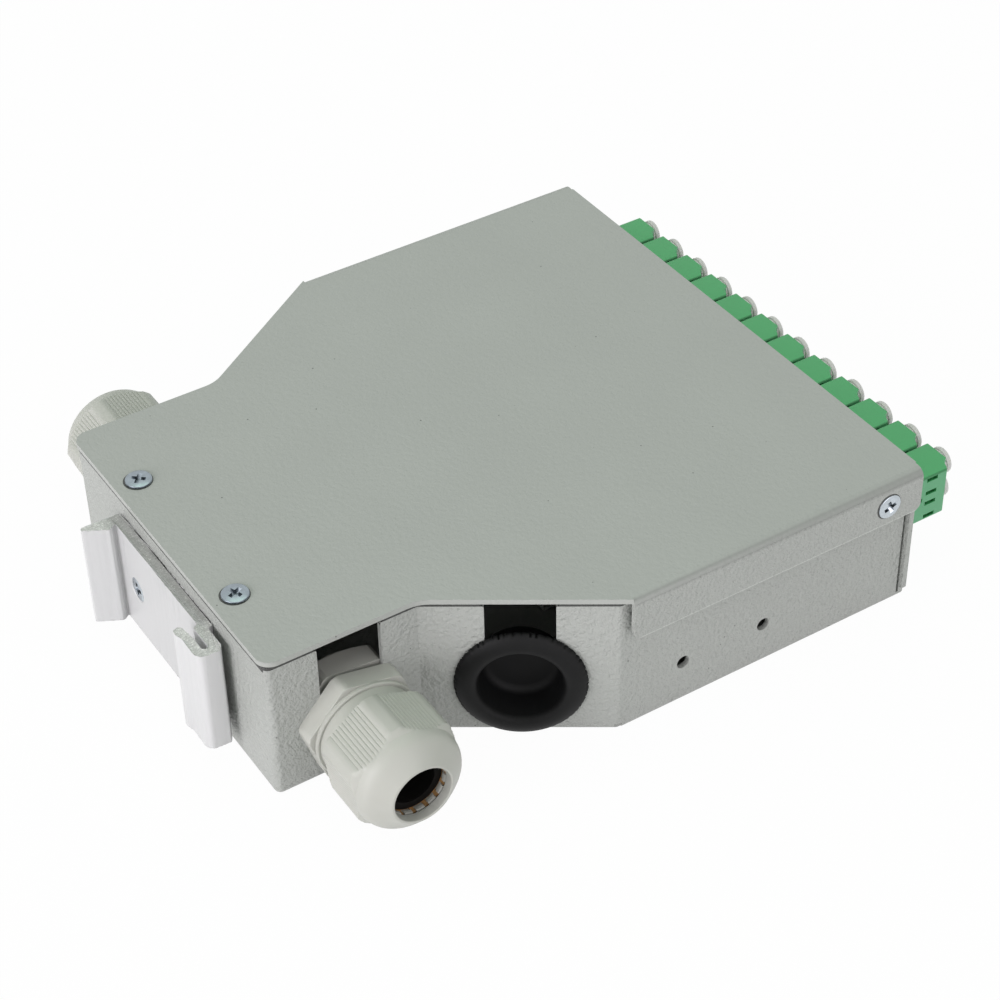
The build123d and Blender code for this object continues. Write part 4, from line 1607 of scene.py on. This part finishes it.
@dataclass
class AdapterRow:
    """Row of duplex adapters with their dust caps, outside and inside."""

    palette: Palette
    count: int = 12
    port_pitch: float = 6.25 * MM
    port: float = 4.8 * MM
    port_deep: float = 8.6 * MM
    port_off: float = 0.9 * MM
    latch: Point = (2.6 * MM, 1.5 * MM)
    window: Point = (2.9 * MM, 0.95 * MM)
    window_deep: float = 1.4 * MM
    window_skin: float = 0.35 * MM
    window_drop: float = 0.4 * MM
    window_off: float = 1.75 * MM
    window_in: float = 6.0 * MM
    middle: Point = (2.2 * MM, 9.4 * MM)
    stop_long: float = 1.5 * MM
    stop_rise: float = 1.2 * MM
    stop_from_end: float = 16.0 * MM
    step: tuple[Point, ...] = ((0.0, -1.65 * MM), (0.95 * MM, -2.2 * MM), (1.35 * MM, -2.75 * MM),
                               (2.15 * MM, -4.55 * MM))
    edge: float = 0.18 * MM
    corner: float = 0.6 * MM
    stop_corner: float = 0.3 * MM
    cap_r: float = 2.95 * MM
    cap_disc: float = 1.2 * MM
    cap_neck: float = 0.5 * MM
    cap_stem: float = 4.1 * MM
    cap_stem_long: float = 6.5 * MM
    # The disc's edges as (distance along, distance out) in millimetres, from its two corners
    cap_collar: tuple[Point, ...] = ((-0.05, -0.33), (0, -0.25), (0.1, -0.06), (0.3, 0))
    cap_brim: tuple[Point, ...] = ((-0.35, 0), (-0.1, -0.1), (0, -0.38))

    @property
    def levels(self) -> tuple[tuple[float, str], ...]:
        """The two ports' heights about the adapter's middle, with their words.

        Returns:
            The low port and the high port.
        """
        return (-self.port_pitch / 2, "low"), (self.port_pitch / 2, "high")

    def shell(self) -> bpy.types.Object:
        """Make one adapter centred on its own axis, its rear end at x = 0.

        Returns:
            The loose master.
        """
        low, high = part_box("adapter_01")
        long, half_w = high[0] - low[0], (high[1] - low[1]) / 2
        half_h = (high[2] - low[2]) / 2 - self.stop_rise
        outline = Shape.plate(half_w, half_h, self.corner, 4)
        shell = Shape.loose("adapter", Shape.prism(outline, long, -long))
        stop = Shape.plate(half_w, half_h + self.stop_rise, self.stop_corner, 3)
        Shape.carve(shell, [Shape.prism(stop, self.stop_long, -self.stop_from_end)], add=True)
        Shape.carve(shell, self.cuts(long, half_w, half_h))
        return shell

    def cuts(self, long: float, half_w: float, half_h: float) -> list[bmesh.types.BMesh]:
        """Make everything that is cut out of an adapter.

        Args:
            long: Length of the adapter.
            half_w: Half its width.
            half_h: Half its height.

        Returns:
            The cutting meshes, none of which touches another.
        """
        tools = []
        half = self.port / 2
        for end in (0.0, -long):
            inward = -1 if end == 0.0 else 1
            for level, _ in self.levels:
                a, b = sorted((end - inward * MM, end + inward * self.port_deep))
                left, right, slot = self.port_off - half, self.port_off + half, self.latch[0] / 2
                mouth = [(left, level - half), (right, level - half),
                         (right, level + half), (left, level + half)]
                if inward < 0:
                    deep = left - self.latch[1]
                    mouth += [(left, level + slot), (deep, level + slot),
                              (deep, level - slot), (left, level - slot)]
                tools.append(Shape.prism(mouth, b - a, a))
        face = -half_w
        for level, _ in self.levels:
            for off in (-self.window_off, self.window_off):
                tools.append(self.latch_window(face, level + off, self.window[0],
                                               -self.window_in))
        tools.append(self.latch_window(face, 0.0, self.middle[0], -self.middle[1]))
        rear = [(-back, y) for back, y in self.step]
        rear += [(-self.step[-1][0], face - MM), (MM, face - MM), (MM, self.step[0][1])]
        tools.append(Shape.skin([[(x, y, z) for x, y in rear]
                                 for z in (-half_h - MM, half_h + MM)], capped=True))
        return tools

    def latch_window(self, face: float, z: float, wide: float, x: float) -> bmesh.types.BMesh:
        """Make the cut of one latch window: a slot in a thin skin with a deeper pocket behind.

        Args:
            face: Y of the adapter's side.
            z: Height of the window's middle.
            wide: Its length along X.
            x: Its middle along X.

        Returns:
            The cutting mesh.
        """
        half, skin, deep = self.window[1] / 2, face + self.window_skin, face + self.window_deep
        outline = [(face - MM, z - half), (skin, z - half), (skin, z - half - self.window_drop),
                   (deep, z - half - self.window_drop), (deep, z + half), (face - MM, z + half)]
        return Shape.prism(outline, wide, x - wide / 2)

    def cap(self) -> bpy.types.Object:
        """Make one dust cap along X, its port's mouth at x = 0.

        Returns:
            The loose master.
        """
        r, neck, disc = self.cap_r, self.cap_neck, self.cap_disc
        top = neck + disc
        grip = Shape.turned([
            (0.05 * MM, 0.0), (0.05 * MM, r - 0.35 * MM), *placed(self.cap_collar, neck, r),
            *placed(self.cap_brim, top, r), (top, 0.0)], 40)
        bar = Shape.plate(self.cap_stem / 2, self.cap_stem / 2, 0.5 * MM, 3)
        rings = []
        for x, share in ((0.3 * MM, 1.0), (0.6 * MM - self.cap_stem_long, 1.0),
                         (-self.cap_stem_long, 0.82)):
            rings.append([(x, y * share, z * share) for y, z in bar])
        cap = Shape.loose("cap", grip)
        Shape.carve(cap, [Shape.skin(rings, capped=True)], add=True)
        return cap

    def build(self) -> None:
        """Make all adapters and caps from one master of each."""
        shell, cap = self.shell(), self.cap()
        for index in range(1, self.count + 1):
            node = f"adapter_{index:02d}"
            low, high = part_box(node)
            centre = ((low[1] + high[1]) / 2, (low[2] + high[2]) / 2)
            piece = self.copy(shell, f"{node}_dressed")
            Shape.ease(piece, self.edge, 2, 30)
            Shape.fit(piece, Matrix.Translation((high[0], *centre)), self.palette.adapter,
                      "adapter_plastic", node, 30)
            for level, word in self.levels:
                place = Matrix.Translation((high[0], centre[0] + self.port_off,
                                            centre[1] + level))
                name = f"dust_cap_{index:02d}_{word}"
                outer = self.copy(cap, f"{name}_dressed")
                Shape.fit(outer, place, self.palette.cap, "cap_plastic", name, 40,
                          f"{name}_body")
        self.inner_caps([self.copy(cap, "inner") for _ in range(2 * self.count)])
        bpy.data.objects.remove(shell)
        bpy.data.objects.remove(cap)
        LOG.info("made %d adapters and their caps", self.count)

    def inner_caps(self, caps: Sequence[bpy.types.Object]) -> None:
        """Join the caps on the adapters' inner ends into one piece.

        Args:
            caps: One loose cap for each inner port.
        """
        whole = bmesh.new()
        for index, cap in enumerate(caps):
            low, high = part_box(f"adapter_{index // 2 + 1:02d}")
            level = self.levels[index % 2][0]
            place = Matrix.Translation((low[0], (low[1] + high[1]) / 2 + self.port_off,
                                        (low[2] + high[2]) / 2 + level))
            cap.data.transform(place @ Matrix.Rotation(math.pi, 4, "Z"))
            whole.from_mesh(cap.data)
            bpy.data.objects.remove(cap)
        piece = Shape.loose("inner_caps", whole)
        Shape.fit(piece, Matrix.Identity(4), self.palette.cap, "cap_plastic",
                  "inner_dust_caps", 40)

    @staticmethod
    def copy(master: bpy.types.Object, name: str) -> bpy.types.Object:
        """Copy a master piece with a mesh of its own.

        Args:
            master: The piece to copy.
            name: Name of the copy.

        Returns:
            The copy.
        """
        made = bpy.data.objects.new(name, master.data.copy())
        bpy.context.scene.collection.objects.link(made)
        return made


@dataclass
class SpliceShelf:
    """Splice comb and its adhesive pad, kept from the frame."""

    palette: Palette
    edge: float = 0.12 * MM

    def build(self) -> None:
        """Dress the comb and the pad."""
        comb = paint_node("splice_holder", self.palette.holder)
        Shape.ease(comb, self.edge, 1, 30, flush=False)
        paint_node("holder_pad", self.palette.pad)
        LOG.info("dressed splice_holder and holder_pad")


@dataclass
class Studio:
    """White floor, soft lamps and the camera of the photograph."""

    eye: tuple[float, float, float] = (-209.16 * MM, -343.48 * MM, 345.17 * MM)
    azimuth: float = -31.86
    elevation: float = 39.58
    roll: float = -1.32
    lens: float = 87.46
    sensor: float = 36.0
    clip: Point = (0.02, 20.0)
    floor_half: float = 4.0
    floor_colour: Colour = (0.86, 0.86, 0.86)
    floor_share: float = 0.97
    sky: float = 0.50
    lamps: tuple[tuple[str, tuple[float, float, float], float, float, Colour], ...] = (
        ("key", (-1.10, -0.16, 0.26), 0.8, 10.5, (1.0, 0.955, 1.0)),
        ("fill", (0.02, -1.10, 0.40), 0.9, 3.5, (1.0, 0.92, 0.985)),
        ("top", (0.10, 0.10, 1.20), 1.0, 3.2, (0.72, 1.0, 0.76)),
    )

    def build(self) -> None:
        """Build the floor, the world, the lamps and the camera."""
        self.floor()
        self.world()
        for name, place, size, power, tint in self.lamps:
            self.lamp(name, Vector(place), size, power, tint)
        self.camera()
        bpy.context.scene.view_settings.view_transform = "Standard"
        LOG.info("built the studio")

    def floor(self) -> None:
        """Lay the floor, white to the camera but with the object's shadow."""
        mesh = bmesh.new()
        bmesh.ops.create_grid(mesh, x_segments=1, y_segments=1, size=self.floor_half)
        ground = Shape.loose("studio_floor", mesh)
        bench = TreeBench("floor_paper")
        bench.shade(Base_Color=(*self.floor_colour, 1), Roughness=0.9, Specular_IOR_Level=0.1)
        ways = bench.node("LightPath")
        seen = bench.maths("MAXIMUM", (ways, "Is Camera Ray"), (ways, "Is Glossy Ray"))
        seen = bench.maths("MAXIMUM", seen, (ways, "Is Transmission Ray"))
        share = bench.maths("MULTIPLY", seen, self.floor_share)
        white = bench.node("Emission", Strength=1.0)
        white.inputs["Color"].default_value = (1, 1, 1, 1)
        mix = bench.node("MixShader")
        bench.link(share, mix, 0)
        bench.link(bench.shader, mix, 1)
        bench.link(white, mix, 2)
        bench.link(mix, bench.output, "Surface")
        ground.data.materials.append(bench.material)

    def world(self) -> None:
        """Light the world softly and show it white to the camera."""
        world = bpy.data.worlds.new("studio")
        world.use_nodes = True
        tree = world.node_tree
        tree.nodes.clear()
        output = tree.nodes.new("ShaderNodeOutputWorld")
        mix = tree.nodes.new("ShaderNodeMixShader")
        for into, strength in ((1, self.sky), (2, 1.0)):
            light = tree.nodes.new("ShaderNodeBackground")
            light.inputs["Color"].default_value = (1, 1, 1, 1)
            light.inputs["Strength"].default_value = strength
            tree.links.new(light.outputs[0], mix.inputs[into])
        ways = tree.nodes.new("ShaderNodeLightPath")
        seen = ways.outputs["Is Camera Ray"]
        for other in ("Is Glossy Ray", "Is Transmission Ray"):
            most = tree.nodes.new("ShaderNodeMath")
            most.operation = "MAXIMUM"
            tree.links.new(seen, most.inputs[0])
            tree.links.new(ways.outputs[other], most.inputs[1])
            seen = most.outputs[0]
        tree.links.new(seen, mix.inputs[0])
        tree.links.new(mix.outputs[0], output.inputs["Surface"])
        bpy.context.scene.world = world

    def lamp(self, name: str, place: Vector, size: float, power: float, tint: Colour) -> None:
        """Hang one square area lamp that points at the box.

        Args:
            name: Name of the lamp.
            place: Where it hangs.
            size: Length of its side.
            power: Its power in watts.
            tint: Its colour.
        """
        data = bpy.data.lights.new(name, "AREA")
        data.size = size
        data.energy = power
        data.color = tint
        lamp = bpy.data.objects.new(name, data)
        lamp.location = place
        lamp.rotation_mode = "QUATERNION"
        lamp.rotation_quaternion = (-place).to_track_quat("-Z", "Y")
        bpy.context.scene.collection.objects.link(lamp)

    def camera(self) -> None:
        """Stand the camera where the photograph was taken from."""
        data = bpy.data.cameras.new("photo_camera")
        data.lens = self.lens
        data.sensor_width = self.sensor
        data.clip_start, data.clip_end = self.clip
        camera = bpy.data.objects.new("photo_camera", data)
        a, e = math.radians(self.azimuth), math.radians(self.elevation)
        back = Vector((math.sin(a) * math.cos(e), -math.cos(a) * math.cos(e), math.sin(e)))
        turn = (-back).to_track_quat("-Z", "Y").to_matrix().to_4x4()
        roll = Matrix.Rotation(math.radians(self.roll), 4, "Z")
        camera.matrix_world = Matrix.Translation(self.eye) @ turn @ roll
        bpy.context.scene.collection.objects.link(camera)
        bpy.context.scene.camera = camera


def main() -> None:
    """Build every sub-assembly in order, then the studio."""
    logging.basicConfig(level=logging.INFO, format="%(name)s: %(message)s")
    palette = Palette()
    SheetMetal(palette).build()
    RailClip(palette).build()
    ScrewSet(palette).build()
    for side in Side:
        CableGland(palette, side).build()
        BlankingPlug(palette, side).build()
    AdapterRow(palette).build()
    SpliceShelf(palette).build()
    Studio().build()


if __name__ == "__main__":
    main()
